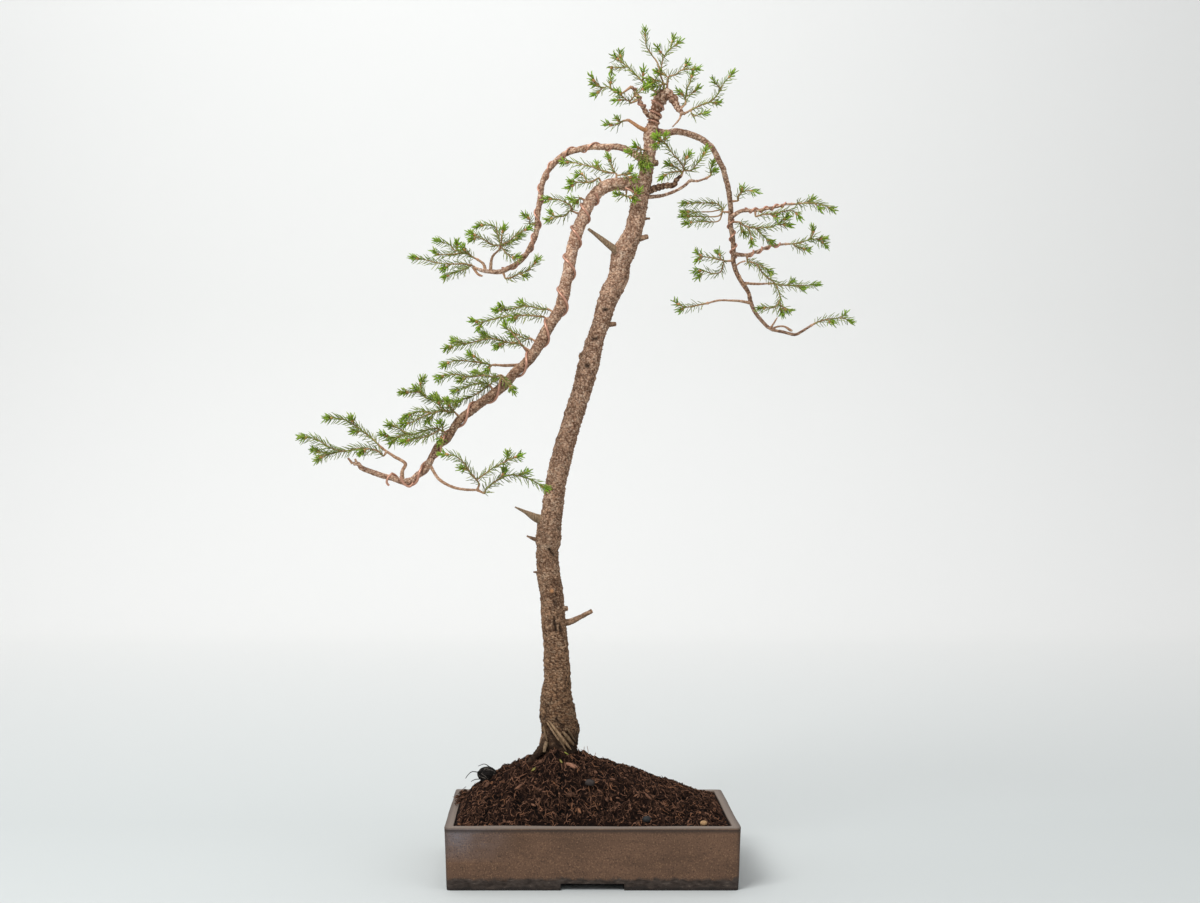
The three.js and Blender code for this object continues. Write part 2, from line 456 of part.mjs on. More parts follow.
// Curves of the tree
function inSpace(across, up, back) {
  const reach = (EYE.distance + back) / EYE.distance;
  const x = EYE.across + (across - EYE.across) * reach;
  const z = EYE.up + (up - EYE.up) * reach;
  return new THREE.Vector3(x, back, z);
}

function between(list, t) {
  const place = Math.min(Math.max(t, 0), 1) * (list.length - 1);
  const index = Math.min(Math.floor(place), list.length - 2);
  return THREE.MathUtils.lerp(list[index], list[index + 1], place - index);
}

function makeLimb(rows) {
  const curve = new THREE.CatmullRomCurve3(rows.map(([a, u, b]) => inSpace(a, u, b)));
  const radii = rows.map((row) => row[3]);
  return { curve, rows, radiusAt: (t) => between(radii, t) };
}

// Rings along a curve, carried without twist from one to the next. The first normal
// points to the front, or to the right where the curve starts along that line.
function ringsAt(pointAt, tangentAt, places) {
  const alike = 0.8;
  let normal = new THREE.Vector3(0, -1, 0);
  if (Math.abs(normal.dot(tangentAt(0))) > alike) normal.set(1, 0, 0);
  return places.map((place) => {
    const tangent = tangentAt(place);
    normal = normal.clone().addScaledVector(tangent, -normal.dot(tangent)).normalize();
    const side = new THREE.Vector3().crossVectors(normal, tangent);
    return { point: pointAt(place), tangent, normal, side };
  });
}

function ringsAlong(pointAt, tangentAt, count) {
  const places = Array.from({ length: count + 1 }, (_, k) => k / count);
  return ringsAt(pointAt, tangentAt, places);
}

// A cylinder or cone bent along rings, with its own radius at each and a turn between them
function bentCylinder(rings, radiusAt, sides, turn = 0, pointed = false) {
  const steps = rings.length - 1;
  const top = pointed ? 0 : 1;
  const geometry = positionOnly(new THREE.CylinderGeometry(top, 1, 1, sides, steps));
  const position = geometry.attributes.position;
  geometry.userData.ring = [];
  for (let i = 0; i < position.count; i += 1) {
    const k = Math.round((position.getY(i) + 0.5) * steps);
    geometry.userData.ring.push(k);
    const ring = rings[k];
    const offset = new THREE.Vector2(position.getX(i), position.getZ(i));
    if (offset.length() > 1e-3) offset.setLength(radiusAt(k / steps));
    offset.rotateAround(new THREE.Vector2(), turn * k);
    const point = ring.point.clone();
    point.addScaledVector(ring.normal, offset.x).addScaledVector(ring.side, offset.y);
    position.setXYZ(i, point.x, point.y, point.z);
  }
  return geometry;
}

function limbSolid(limb, sides, steps, extra = 0) {
  const { curve } = limb;
  const rings = ringsAlong((t) => curve.getPoint(t), (t) => curve.getTangent(t), steps);
  return solidOf(bentCylinder(rings, (t) => limb.radiusAt(t) + extra, sides));
}

// The place on a limb that lies behind or in front of a point across and up
function nearestOn(limb, across, up) {
  const samplesPerRow = 40;
  const samples = samplesPerRow * limb.rows.length;
  const target = inSpace(across, up, 0);
  let best = { gap: Infinity };
  for (let k = 0; k <= samples; k += 1) {
    const point = limb.curve.getPoint(k / samples);
    const reach = EYE.distance / (EYE.distance + point.y);
    const gapX = EYE.across + (point.x - EYE.across) * reach - target.x;
    const gapZ = EYE.up + (point.z - EYE.up) * reach - target.z;
    const gap = Math.hypot(gapX, gapZ);
    if (gap < best.gap) best = { gap, point, t: k / samples };
  }
  return best;
}

// Points of a stem whose depth runs from its root's depth to its tip's
function routeFrom(depth, swing, points) {
  const last = points.length - 1;
  return points.map(([across, up, push], k) => {
    const back = push === undefined ? swing * Math.sin((k / last) * Math.PI * 0.5) : push;
    return inSpace(across, up, depth + back);
  });
}

// Wood: trunk, limbs, stubs, bare twigs and the pegs that carry the sprays
const limbs = {
  trunk: makeLimb(TRUNK),
  main_left: makeLimb(MAIN_LEFT),
  upper_left: makeLimb(UPPER_LEFT),
  right: makeLimb(RIGHT),
  apex_left: makeLimb(APEX_LEFT),
  hub: makeLimb(HUB),
  hub_low: makeLimb(HUB_LOW),
  right_upper: makeLimb(RIGHT_UPPER),
  right_lower: makeLimb(RIGHT_LOWER),
};

const wood = Object.entries(limbs).map(([name, limb]) => {
  const steps = Math.round(limb.rows.length * (RINGS_PER_ROW[name] ?? RINGS_PER_ROW.limb));
  return limbSolid(limb, SIDES[name] ?? SIDES.thin, steps);
});
STUBS.forEach((rows) => wood.push(limbSolid(makeLimb(rows), SIDES.thin, rows.length - 1)));

for (const [name, [parent, swing, radii, points]] of Object.entries(TWIGS)) {
  const depth = nearestOn(limbs[parent], ...points[0]).point.y;
  const curve = new THREE.CatmullRomCurve3(routeFrom(depth, swing, points));
  limbs[name] = { curve, rows: points, radiusAt: (t) => between(radii, t) };
  wood.push(limbSolid(limbs[name], SIDES.thin, points.length));
}

// Obstacles that the needles keep clear of: lines with a radius at each end
const obstacles = [];

function addObstacles(owner, rings, radiusAt) {
  for (let k = 1; k < rings.length; k += 1) {
    const line = new THREE.Line3(rings[k - 1].point, rings[k].point);
    const steps = rings.length - 1;
    obstacles.push({ owner, line, radii: [radiusAt((k - 1) / steps), radiusAt(k / steps)] });
  }
}

function clearance(line, radii, obstacle) {
  const margin = 3;
  const reach = (line.distance() + obstacle.line.distance()) / 2 + margin;
  const middle = line.getCenter(new THREE.Vector3());
  const other = obstacle.line.getCenter(new THREE.Vector3());
  if (middle.distanceTo(other) > reach + Math.max(...obstacle.radii)) return Infinity;
  let least = Infinity;
  for (const s of [0, 0.2, 0.4, 0.6, 0.8, 1]) {
    const point = line.at(s, new THREE.Vector3());
    const t = obstacle.line.closestPointToPointParameter(point, true);
    const near = obstacle.line.at(t, new THREE.Vector3());
    const width = between(radii, s) + between(obstacle.radii, t);
    least = Math.min(least, point.distanceTo(near) - width);
  }
  return least;
}

function addLimbObstacles(name, limb) {
  const { curve } = limb;
  const steps = limb.rows.length * 2;
  const rings = ringsAlong((t) => curve.getPoint(t), (t) => curve.getTangent(t), steps);
  addObstacles(name, rings, limb.radiusAt);
}
Object.entries(limbs).forEach(([name, limb]) => addLimbObstacles(name, limb));
STUBS.forEach((rows) => addLimbObstacles("stub", makeLimb(rows)));

// Wire: a coil round a limb, clear of its bark
function coilCurve({ on, stretch, pitch, start, segments, radius, off }) {
  const rings = 400;
  const limb = limbs[on];
  const { curve } = limb;
  const [from, to] = stretch;
  const span = (t) => from + (to - from) * t;
  const path = ringsAlong((t) => curve.getPoint(span(t)), (t) => curve.getTangent(span(t)), rings);
  const sag = Math.cos(Math.PI / segments);
  let run = 0;
  const points = path.map((ring, k) => {
    if (k > 0) run += ring.point.distanceTo(path[k - 1].point);
    const angle = (start + run / pitch) * 2 * Math.PI;
    const reach = (limb.radiusAt(span(k / rings)) + off + radius) / sag;
    const point = ring.point.clone();
    point.addScaledVector(ring.normal, reach * Math.cos(angle));
    return point.addScaledVector(ring.side, reach * Math.sin(angle));
  });
  const turns = Math.abs(run / pitch);
  const count = Math.round(turns * segments);
  const spaced = Array.from({ length: count + 1 }, (_, k) => (
    points[Math.round((k / count) * rings)]
  ));
  return new THREE.CatmullRomCurve3(spaced);
}

for (const [name, wire] of Object.entries(WIRES)) {
  const { radius, sides } = wire;
  const curve = coilCurve(wire);
  const steps = curve.points.length - 1;
  const rings = ringsAlong((t) => curve.getPoint(t), (t) => curve.getTangent(t), steps);
  addObstacles(name, rings, () => radius);
  const section = new THREE.Shape(Array.from({ length: sides }, (_, k) => {
    const angle = (k / sides) * 2 * Math.PI;
    return new THREE.Vector2(radius * Math.cos(angle), radius * Math.sin(angle));
  }));
  const options = { steps, bevelEnabled: false, extrudePath: curve };
  addPiece(name, positionOnly(new THREE.ExtrudeGeometry(section, options)), COPPER);
}

// Stems of the sprays, and a peg of wood for each spray
const stems = [];

function stemOf(spray, points, bare, pitch, rootRadius) {
  const curve = new THREE.CatmullRomCurve3(points);
  const length = curve.getLength();
  const whorls = Math.max(1, Math.round((length - bare) / pitch));
  const spacing = (length - bare) / whorls;
  const runs = [0];
  for (let k = 0; k < whorls; k += 1) {
    const start = bare + (k + 0.5) * spacing;
    runs.push(start - STEM.band / 2, start + STEM.band / 2);
  }
  const places = [...runs, length].map((run) => Math.min(run / length, 1));
  const rings = ringsAt((t) => curve.getPointAt(t), (t) => curve.getTangentAt(t), places);
  const radiusAt = (t) => (t > 0 ? THREE.MathUtils.lerp(STEM.root, STEM.tip, t) : rootRadius);
  const owner = `${spray}${stems.length}`;
  addObstacles(owner, rings, radiusAt);
  stems.push({ spray, owner, rings, radiusAt });
  const middles = rings.map((ring) => ring.point);
  const straight = new THREE.CatmullRomCurve3(middles, false, "catmullrom", 0);
  return { curve: straight, rows: middles, radiusAt };
}

for (const [name, spray] of Object.entries(SPRAYS)) {
  const { on, bare, sideBare = NEEDLE.bare, dense, stems: routes } = spray;
  const limb = limbs[on];
  const pitch = dense ? WHORL.dense : WHORL.pitch;
  const [swing, ...points] = routes[0];
  const root = nearestOn(limb, ...points[0]);
  const route = routeFrom(root.point.y, swing, points);
  const out = route[0].clone().sub(root.point);
  const shortest = limb.radiusAt(root.t) + PEG.length;
  if (out.length() < shortest) {
    if (out.length() < PEG.seat) out.copy(route[1]).sub(root.point);
    out.setLength(shortest);
    route[0].copy(root.point).add(out);
  }
  const seat = route[0].clone().sub(out.clone().setLength(PEG.seat));
  const peg = ringsAlong((t) => root.point.clone().lerp(seat, t), () => out.clone().normalize(), 1);
  const pegRadius = (t) => THREE.MathUtils.lerp(PEG.radius, PEG.tip, t);
  wood.push(solidOf(bentCylinder(peg, pegRadius, SIDES.peg)));
  addObstacles(`${name}_peg`, peg, () => PEG.radius);
  route.splice(1, 0, route[0].clone().add(out.clone().setLength(PEG.straight)));
  const carriers = [stemOf(name, route, bare, pitch, STEM.root)];
  for (const [sideSwing, ...sidePoints] of routes.slice(1)) {
    const starts = carriers.map((carrier) => nearestOn(carrier, ...sidePoints[0]));
    const start = starts.reduce((best, place) => (place.gap < best.gap ? place : best));
    const sideRoute = routeFrom(start.point.y, sideSwing, sidePoints);
    sideRoute[0].copy(start.point);
    carriers.push(stemOf(name, sideRoute, sideBare, pitch, STEM.fork));
  }
}

// Needles are raised from the side triangles of their stem, swept towards its tip
function needleTip(stem, ring, corners, random) {
  const foot = corners[0].clone().add(corners[1]).add(corners[2]).divideScalar(3);
  const out = foot.clone().sub(ring.point);
  out.addScaledVector(ring.tangent, -out.dot(ring.tangent)).normalize();
  const along = ring.k / (stem.rings.length - 1);
  const sweep = THREE.MathUtils.lerp(NEEDLE.sweepRoot, NEEDLE.sweepTip, along ** 2);
  const turn = sweep + (random() - 0.5) * NEEDLE.wobble;
  const length = NEEDLE.length * (NEEDLE.shortest + NEEDLE.spread * random());
  const lean = ring.tangent.clone().multiplyScalar(Math.cos(turn));
  lean.addScaledVector(out, Math.sin(turn)).multiplyScalar(length);
  return { foot, lean };
}

function needleFits(stem, foot, tip) {
  const line = new THREE.Line3(foot, tip);
  const radii = [NEEDLE.radius, NEEDLE.tip];
  return obstacles.every((obstacle) => (
    obstacle.owner === stem.owner || clearance(line, radii, obstacle) > GAP
  ));
}

function leafySolid(stem, random) {
  const { rings, radiusAt } = stem;
  const steps = rings.length - 1;
  const geometry = bentCylinder(rings, radiusAt, STEM.sides, STEM.twist, true);
  const slots = rings.map(() => 0);
  const position = Array.from(geometry.attributes.position.array);
  const index = [];
  const corner = (i) => new THREE.Vector3().fromArray(position, 3 * i);
  for (let j = 0; j < geometry.index.count / 3; j += 1) {
    const abc = [0, 1, 2].map((n) => geometry.index.array[3 * j + n]);
    const levels = abc.map((n) => geometry.userData.ring[n]);
    const band = Math.min(...levels);
    const isSide = band !== Math.max(...levels);
    if (isSide) slots[band] += 1;
    const whorl = (band - 1) / 2;
    const chosen = isSide && band % 2 === 1 && band < steps - 1
      && (slots[band] + whorl) % WHORL.skip !== 0;
    let tip = null;
    if (chosen) {
      const ring = { ...rings[band + 1], k: band + 1 };
      const { foot, lean } = needleTip(stem, ring, abc.map(corner), random);
      const length = [1, 0.75, 0.5].find((part) => (
        needleFits(stem, foot, foot.clone().addScaledVector(lean, part))
      ));
      if (length) {
        tip = foot.clone().addScaledVector(lean, length);
        const radii = [NEEDLE.radius, NEEDLE.tip];
        obstacles.push({ owner: stem.owner, line: new THREE.Line3(foot, tip), radii });
      }
    }
    if (tip) {
      const apex = position.length / 3;
      position.push(...tip.toArray());
      index.push(abc[0], abc[1], apex, abc[1], abc[2], apex, abc[2], abc[0], apex);
    } else {
      index.push(...abc);
    }
  }
  const leafy = new THREE.BufferGeometry();
  leafy.setAttribute("position", new THREE.Float32BufferAttribute(position, 3));
  leafy.setIndex(index);
  return solidOf(leafy);
}

Object.keys(SPRAYS).forEach((name, order) => {
  const random = randomFrom(101 + order);
  const own = stems.filter((stem) => stem.spray === name);
  const solids = own.map((stem) => leafySolid(stem, random));
  addPiece(`needles_${name}`, geometryOf(largestBody(fuse(solids)).simplify(FLATTEN.fine)), GREEN);
});

addPiece("wood", geometryOf(largestBody(fuse(wood)).simplify(FLATTEN.wood)), BARK);

// Pot
function roundedRectangle(width, depth, corner) {
  const shape = new THREE.Shape();
  const [x, y] = [width / 2 - corner, depth / 2 - corner];
  shape.absarc(x, y, corner, 0, Math.PI / 2);
  shape.absarc(-x, y, corner, Math.PI / 2, Math.PI);
  shape.absarc(-x, -y, corner, Math.PI, 1.5 * Math.PI);
  shape.absarc(x, -y, corner, 1.5 * Math.PI, 2 * Math.PI);
  return shape;
}

function slab(width, depth, corner, low, high) {
  const options = { depth: high - low, bevelEnabled: false, curveSegments: 3 };
  const shape = roundedRectangle(width, depth, corner);
  return new THREE.ExtrudeGeometry(shape, options).translate(0, 0, low);
}

function block(x, y, z, width, depth, height) {
  return solidOf(new THREE.BoxGeometry(width, depth, height).translate(x, y, z + height / 2));
}

// How far a cut runs past the face that it opens
const over = 1;
const inner = { width: POT.width - 2 * POT.wall, depth: POT.depth - 2 * POT.wall };
const floorTop = FOOT.height + FLOOR;

function potSolid() {
  const outer = slab(POT.width, POT.depth, POT.corner, 0, POT.height);
  const position = outer.attributes.position;
  for (let i = 0; i < position.count; i += 1) {
    const low = 1 - position.getZ(i) / POT.height;
    position.setX(i, position.getX(i) * (1 - (2 * POT.draft * low) / POT.width));
    position.setY(i, position.getY(i) * (1 - (2 * POT.draft * low) / POT.depth));
  }
  const hollow = slab(inner.width, inner.depth, POT.corner / 2, floorTop, POT.height + over);
  const under = [POT.width - 2 * FOOT.width, POT.depth - 2 * FOOT.width];
  let pot = solidOf(outer).subtract(solidOf(hollow));
  pot = pot.subtract(block(0, 0, -over, under[0], under[1], FOOT.height + over));
  const cutHeight = FOOT.cutHeight + over;
  pot = pot.subtract(block(0, 0, -over, FOOT.cutWidth, POT.depth + 2 * over, cutHeight));
  for (const side of [-1, 1]) {
    const drain = new THREE.CylinderGeometry(DRAIN.radius, DRAIN.radius, 3 * FLOOR, DRAIN.sides);
    drain.rotateX(Math.PI / 2).translate(side * DRAIN.offset, 0, floorTop);
    pot = pot.subtract(solidOf(drain));
  }
  return pot;
}
addPiece("pot", geometryOf(potSolid()), STONEWARE);

// Drain screens on the floor of the pot
function screenSolid(x) {
  const { side, bar, holes, thickness } = SCREEN;
  const low = floorTop + GAP;
  const hole = (side - bar * (holes + 1)) / holes;
  const place = (k) => (k - (holes - 1) / 2) * (hole + bar);
  let screen = block(x, 0, low, side, side, thickness);
  for (let row = 0; row < holes; row += 1) {
    for (let column = 0; column < holes; column += 1) {
      const height = thickness + 2 * over;
      const cut = block(x + place(column), place(row), low - over, hole, hole, height);
      screen = screen.subtract(cut);
    }
  }
  return screen;
}
addPiece("screen_left", geometryOf(screenSolid(-DRAIN.offset)), PLASTIC);
addPiece("screen_right", geometryOf(screenSolid(DRAIN.offset)), PLASTIC);

// Soil: a block that fits the pot, its top raised to the mound
function ridgeAt(x) {
  const k = Math.max(1, RIDGE.findIndex(([right]) => right >= x));
  const [[x0, z0], [x1, z1]] = [RIDGE[k - 1], RIDGE[k]];
  return THREE.MathUtils.mapLinear(x, x0, x1, z0, z1);
}

function soilHeight(x, y) {
  const fall = 1 - Math.abs(y / (inner.depth / 2)) ** SOIL.fall;
  const edge = SOIL.edge;
  const rise = ridgeAt(THREE.MathUtils.clamp(x, RIDGE[0][0], -RIDGE[0][0])) - edge;
  return edge + Math.max(0, rise) * Math.max(0, fall);
}

function soilSolid() {
  const size = [inner.width - 2 * GAP, inner.depth - 2 * GAP];
  const low = floorTop + GAP;
  const geometry = positionOnly(new THREE.BoxGeometry(...size, 1, SOIL.columns, SOIL.rows, 1));
  const position = geometry.attributes.position;
  for (let i = 0; i < position.count; i += 1) {
    const top = position.getZ(i) > 0;
    const height = soilHeight(position.getX(i), position.getY(i));
    position.setZ(i, top ? height : low);
  }
  const inside = slab(...size, POT.corner / 2, low - over, 2 * POT.height);
  let soil = solidOf(geometry).intersect(solidOf(inside)).simplify(FLATTEN.fine);
  const [stump, root] = [TRUNK.slice(0, SOIL.stumpRows), STUBS.at(-1)];
  soil = soil.subtract(limbSolid(makeLimb(stump), SIDES.trunk, stump.length - 1, SOIL.hole));
  soil = soil.subtract(limbSolid(makeLimb(root), SIDES.thin, root.length - 1, SOIL.hole));
  const pocket = SCREEN.side + 2 * GAP;
  for (const side of [-1, 1]) {
    const height = SCREEN.thickness + 2 * GAP + over;
    soil = soil.subtract(block(side * DRAIN.offset, 0, low - over, pocket, pocket, height));
  }
  return largestBody(soil);
}
const soil = soilSolid();
addPiece("soil", geometryOf(soil), PEAT);

// Loose things on the soil, cut to lie on it
function lyingOn({ x, y, radius, squash, detail }) {
  const ball = new THREE.IcosahedronGeometry(radius, detail);
  const centre = soilHeight(x, y) + radius * squash * (1 - LYING.sunk);
  ball.scale(1, LYING.narrow, squash).translate(x, y, centre);
  return geometryOf(largestBody(solidOf(ball).subtract(soil.translate([0, 0, GAP]))));
}
addPiece("clod", lyingOn(CLOD), BLACK_FIBRE);
addPiece("pebble_pale", lyingOn(PEBBLES.pale), PALE_STONE);
addPiece("pebble_dark", lyingOn(PEBBLES.dark), DARK_STONE);

export default tree;
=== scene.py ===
"""Spruce bonsai in a slab pot: the looks of every surface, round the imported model."""
import functools
import itertools
import math

import bpy
import numpy as np
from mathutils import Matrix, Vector


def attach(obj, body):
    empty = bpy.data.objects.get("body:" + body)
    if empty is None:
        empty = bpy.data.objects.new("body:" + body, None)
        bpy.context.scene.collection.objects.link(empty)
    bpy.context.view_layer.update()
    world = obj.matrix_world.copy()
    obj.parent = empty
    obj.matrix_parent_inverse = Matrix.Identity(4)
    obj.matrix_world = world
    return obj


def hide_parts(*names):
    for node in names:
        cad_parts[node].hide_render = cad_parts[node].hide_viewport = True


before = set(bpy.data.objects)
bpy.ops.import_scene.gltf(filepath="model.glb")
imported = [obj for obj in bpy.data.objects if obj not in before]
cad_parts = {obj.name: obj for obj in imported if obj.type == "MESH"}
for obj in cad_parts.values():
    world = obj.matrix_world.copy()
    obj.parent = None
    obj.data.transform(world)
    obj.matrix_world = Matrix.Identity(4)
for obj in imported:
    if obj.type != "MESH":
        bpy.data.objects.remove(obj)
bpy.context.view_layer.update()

bl_info = {
    "name": "Spruce bonsai",
    "version": (1, 0, 0),
    "blender": (4, 5, 0),
    "location": "View3D > Sidebar > Bonsai",
    "description": "Dresses a spruce bonsai in its slab pot, piece by piece",
    "category": "Object",
}

# Lengths are in millimetres up to the moment that a mesh is made
MM = 0.001

# Faces that meet at less than this are shaded as one, on the pot and on rounder things
SMOOTH = {"pot": math.radians(35), "round": math.radians(40)}

# Seeds of the random draws. A group of pieces counts on from its own.
SEEDS = {"noise": 7, "trunk": 11, "soil": 21, "roots": 30, "peeling": 40, "limbs": 60,
         "clod": 71, "stubs": 90, "twigs": 120, "spurs": 150, "sprays": 300}

# The pot and its inside, its foot, the drain holes and the screens over them. Slices
# across its walls give these the points that their slow waves move.
POT = {"width": 280, "depth": 190, "height": 60, "wall": 8, "draft": 2.2, "corner": 4,
       "edge": 1.1, "slice": 10, "high_slice": 11, "waves": 30}
INSIDE = (POT["width"] / 2 - POT["wall"], POT["depth"] / 2 - POT["wall"])
FOOT = {"height": 7, "width": 14, "cut_width": 60, "cut_height": 6.6}
FLOOR_TOP = 15
DRAIN = {"radius": 11, "offset": 62}
SCREEN = {"side": 40, "threads": 12, "thread": 0.9, "low": 15.3}

# The tree's points are measured on the plane of the trunk, across and up, as they
# are seen from the eye. Each is then pushed along its line of sight to its depth.
EYE = {"across": -34.4, "up": 387, "distance": 1615}
FRAME = {"width": 1200, "right": 44, "up": 28.5}

# Pegs of wood that carry the sprays, and the shoots on them. The tuft is the stretch at
# a shoot's tip with its young needles.
PEG = {"length": 1.6, "straight": 2.5, "radii": [1.6, 1.35, 1.15, 1.0]}
SHOOT = {"root": 1.0, "side_root": 0.8, "tip": 0.45, "bare": 2.2, "tuft": 6.0, "sides": 6,
         "ring": 1.6}

# Radius of the heavy and the light wire, the points in one turn, the places where a coil
# is worked out, how far it strays from its limb, and where a tight start eases
WIRE = {"heavy": 1.25, "light": 0.9, "corners": 26, "places": 500, "slack": 0.35, "eases": 40}

# The trunk and the limbs, as rows of across, up, back and radius
TRUNK = [
    [-31, 62, 0, 14], [-31, 90, 0, 17.5], [-31, 112, 0, 18], [-31, 119, 0, 17.5],
    [-30, 135, 0, 19], [-33, 155, 0, 18.3], [-34, 170, 0, 15.7], [-33, 186, 0, 13.5],
    [-34, 206, 1, 12.8], [-35, 227, 2, 12.6], [-37, 250, 2, 12.2], [-39, 275, 3, 12],
    [-42, 295, 3, 11.8], [-43, 316, 4, 11.2], [-42, 327, 4, 13], [-41, 340, 4, 12.1],
    [-38, 356, 4, 11.1], [-36, 372, 4, 10.7], [-33, 392, 4, 10.7], [-26, 420, 3, 10.3],
    [-18, 447, 2, 9.9], [-10, 472, 1, 9.9], [-2, 501, 0, 10.8], [6, 530, 0, 8.6],
    [11, 545, 0, 9.1], [15, 560, -1, 9.2], [20, 574, -2, 10.4], [28, 589, -2, 10.6],
    [30, 604, -3, 10.3], [33, 614, -3, 11.8], [42, 633, -4, 9.2], [46, 648, -4, 8.9],
    [49, 663, -5, 8.4], [55, 691, -5, 7.2], [59, 714, -5, 6.3], [60, 735, -6, 6.5],
    [63, 742, -6, 5.8], [65, 754, -6, 5.8], [67, 761, -7, 6.4], [70, 768, -7, 6.8],
    [75, 773, -8, 6.2], [82, 769, -10, 4.8], [88, 758, -11, 3], [93, 753, -12, 2.2],
]

MAIN_LEFT = [
    [53, 681, -6, 6.6], [40.5, 683, -10, 6.5], [28, 683, -13, 6.4], [19.5, 682, -15, 6.3],
    [11, 678, -17, 6.2], [4.5, 672, -18, 6.2], [-1, 664, -20, 6.1], [-7, 651, -21, 6],
    [-11.5, 640, -22, 6], [-16, 627, -24, 6], [-19.5, 611, -25, 6], [-22, 596, -27, 6],
    [-25, 583, -29, 6], [-27, 571.5, -31, 5.9], [-30.5, 558, -33, 5.8], [-36.5, 548, -35, 5.6],
    [-44, 536, -38, 5.5], [-51, 523, -40, 5.3], [-58.5, 511, -42, 5.1], [-66, 502.5, -44, 5],
    [-75, 495, -46, 4.9], [-86.5, 481.5, -49, 4.7], [-100, 471, -52, 4.5],
    [-109, 464.5, -54, 4.4], [-120.5, 455.5, -57, 4.2], [-131.5, 446.5, -60, 4.1],
    [-137.5, 437.5, -62, 4], [-143, 428, -64, 3.9], [-152, 421.5, -66, 3.8],
    [-156, 414.5, -67, 3.7], [-161.5, 404, -69, 3.5], [-165.5, 397, -70, 3.4],
    [-172.5, 392, -71, 3.3], [-178.5, 387, -72, 3.1], [-185.5, 385.5, -73, 3],
    [-190.5, 386, -74, 2.9], [-199, 389, -75, 2.8], [-207, 391, -77, 2.7],
    [-215.5, 394, -78, 2.6], [-224, 397, -80, 2.5], [-229.5, 399.5, -81, 2.4],
    [-232, 403, -81.5, 2.2], [-237, 403.5, -82, 1.8],
]

UPPER_LEFT = [
    [52, 708, -3, 3.8], [39, 716, 4, 3.4], [28, 720, 8, 3.3], [15, 720, 12, 3.3],
    [-1, 720, 16, 3.2], [-13.5, 717, 19, 3.2], [-23.5, 714, 21, 3.1], [-32, 708, 23, 3.1],
    [-39, 700.5, 25, 3], [-45, 692, 27, 3], [-48.5, 682, 28, 2.9], [-50, 670, 30, 2.9],
    [-52, 657.5, 31, 2.9], [-53, 648, 32, 2.8], [-53.5, 639, 33, 2.8], [-55.5, 629.5, 34, 2.7],
    [-60, 620.5, 35, 2.7], [-65.5, 611, 36, 2.6], [-72, 604.5, 36, 2.6], [-81.5, 599, 36, 2.5],
    [-89, 595.5, 36, 2.5], [-101.5, 595.5, 35, 2.3], [-108, 596.5, 34, 2], [-113, 598, 33, 1.6],
]

RIGHT = [
    [60, 736, -5, 3.9], [77, 734, -1, 3.4], [85, 735.5, 2, 3.3], [93, 734.5, 4, 3.2],
    [101.5, 732, 7, 3.2], [110, 728.5, 10, 3.1], [116, 724.5, 12, 3.1], [121.5, 719.5, 14, 3],
    [125.5, 712.5, 16, 3], [129, 705.5, 18, 2.9], [132.5, 699, 20, 2.9], [135, 689.5, 22, 2.8],
    [138, 678, 24, 2.8], [139.5, 667, 26, 2.7], [140.5, 656.5, 28, 2.7], [140, 643.5, 30, 2.6],
    [142, 631, 32, 2.6], [143, 618, 34, 2.5], [143, 605.5, 36, 2.5], [145.5, 596, 38, 2.4],
    [151.5, 584.5, 40, 2.3], [158, 574.5, 43, 2.2], [160.5, 564.5, 45, 2.1], [164, 556, 47, 2],
    [171.5, 546, 50, 1.9], [180.5, 538, 53, 1.8], [193, 535, 56, 1.7], [205, 532.5, 60, 1.6],
    [212, 536, 62, 1.4], [220, 541, 64, 1.2],
]

APEX_LEFT = [
    [65, 751, -6, 3], [57.5, 752.5, -13, 2.4], [52, 761, -16, 2.2], [48.5, 768, -18, 2],
    [45, 775, -19, 1.8], [41, 780.5, -20, 1.5],
]

HUB = [
    [57, 676, -4, 3.6], [69.5, 680, -10, 3.2], [76.5, 681.5, -13, 2.9], [83.5, 682, -16, 2.6],
    [86, 687, -17, 2.4], [90.5, 691, -18, 1.8],
]

HUB_LOW = [
    [54, 670, -4, 2], [69.5, 671, 2, 1.7], [80, 674, 8, 1.6], [89, 678, 10, 1.5],
    [95, 682, 11, 1.5], [99.5, 686, 12, 1.6], [107, 686, 15, 1.3], [115.5, 688.5, 18, 1.2],
]

RIGHT_UPPER = [
    [141, 650.5, 28, 2], [151, 656, 24, 1.8], [158, 656.5, 20, 1.7], [170.5, 657, 16, 1.6],
    [180, 659, 12, 1.5], [187.5, 660.5, 9, 1.4], [194, 662.5, 6, 1.3], [200.5, 663, 4, 1.2],
]

RIGHT_LOWER = [
    [143, 613, 35, 1.9], [152, 612, 40, 1.7], [158.5, 612.5, 44, 1.6], [165, 615, 48, 1.6],
    [171.5, 617.5, 52, 1.5], [180.5, 621.5, 56, 1.4], [187, 622, 60, 1.3], [194.5, 623, 64, 1.2],
]

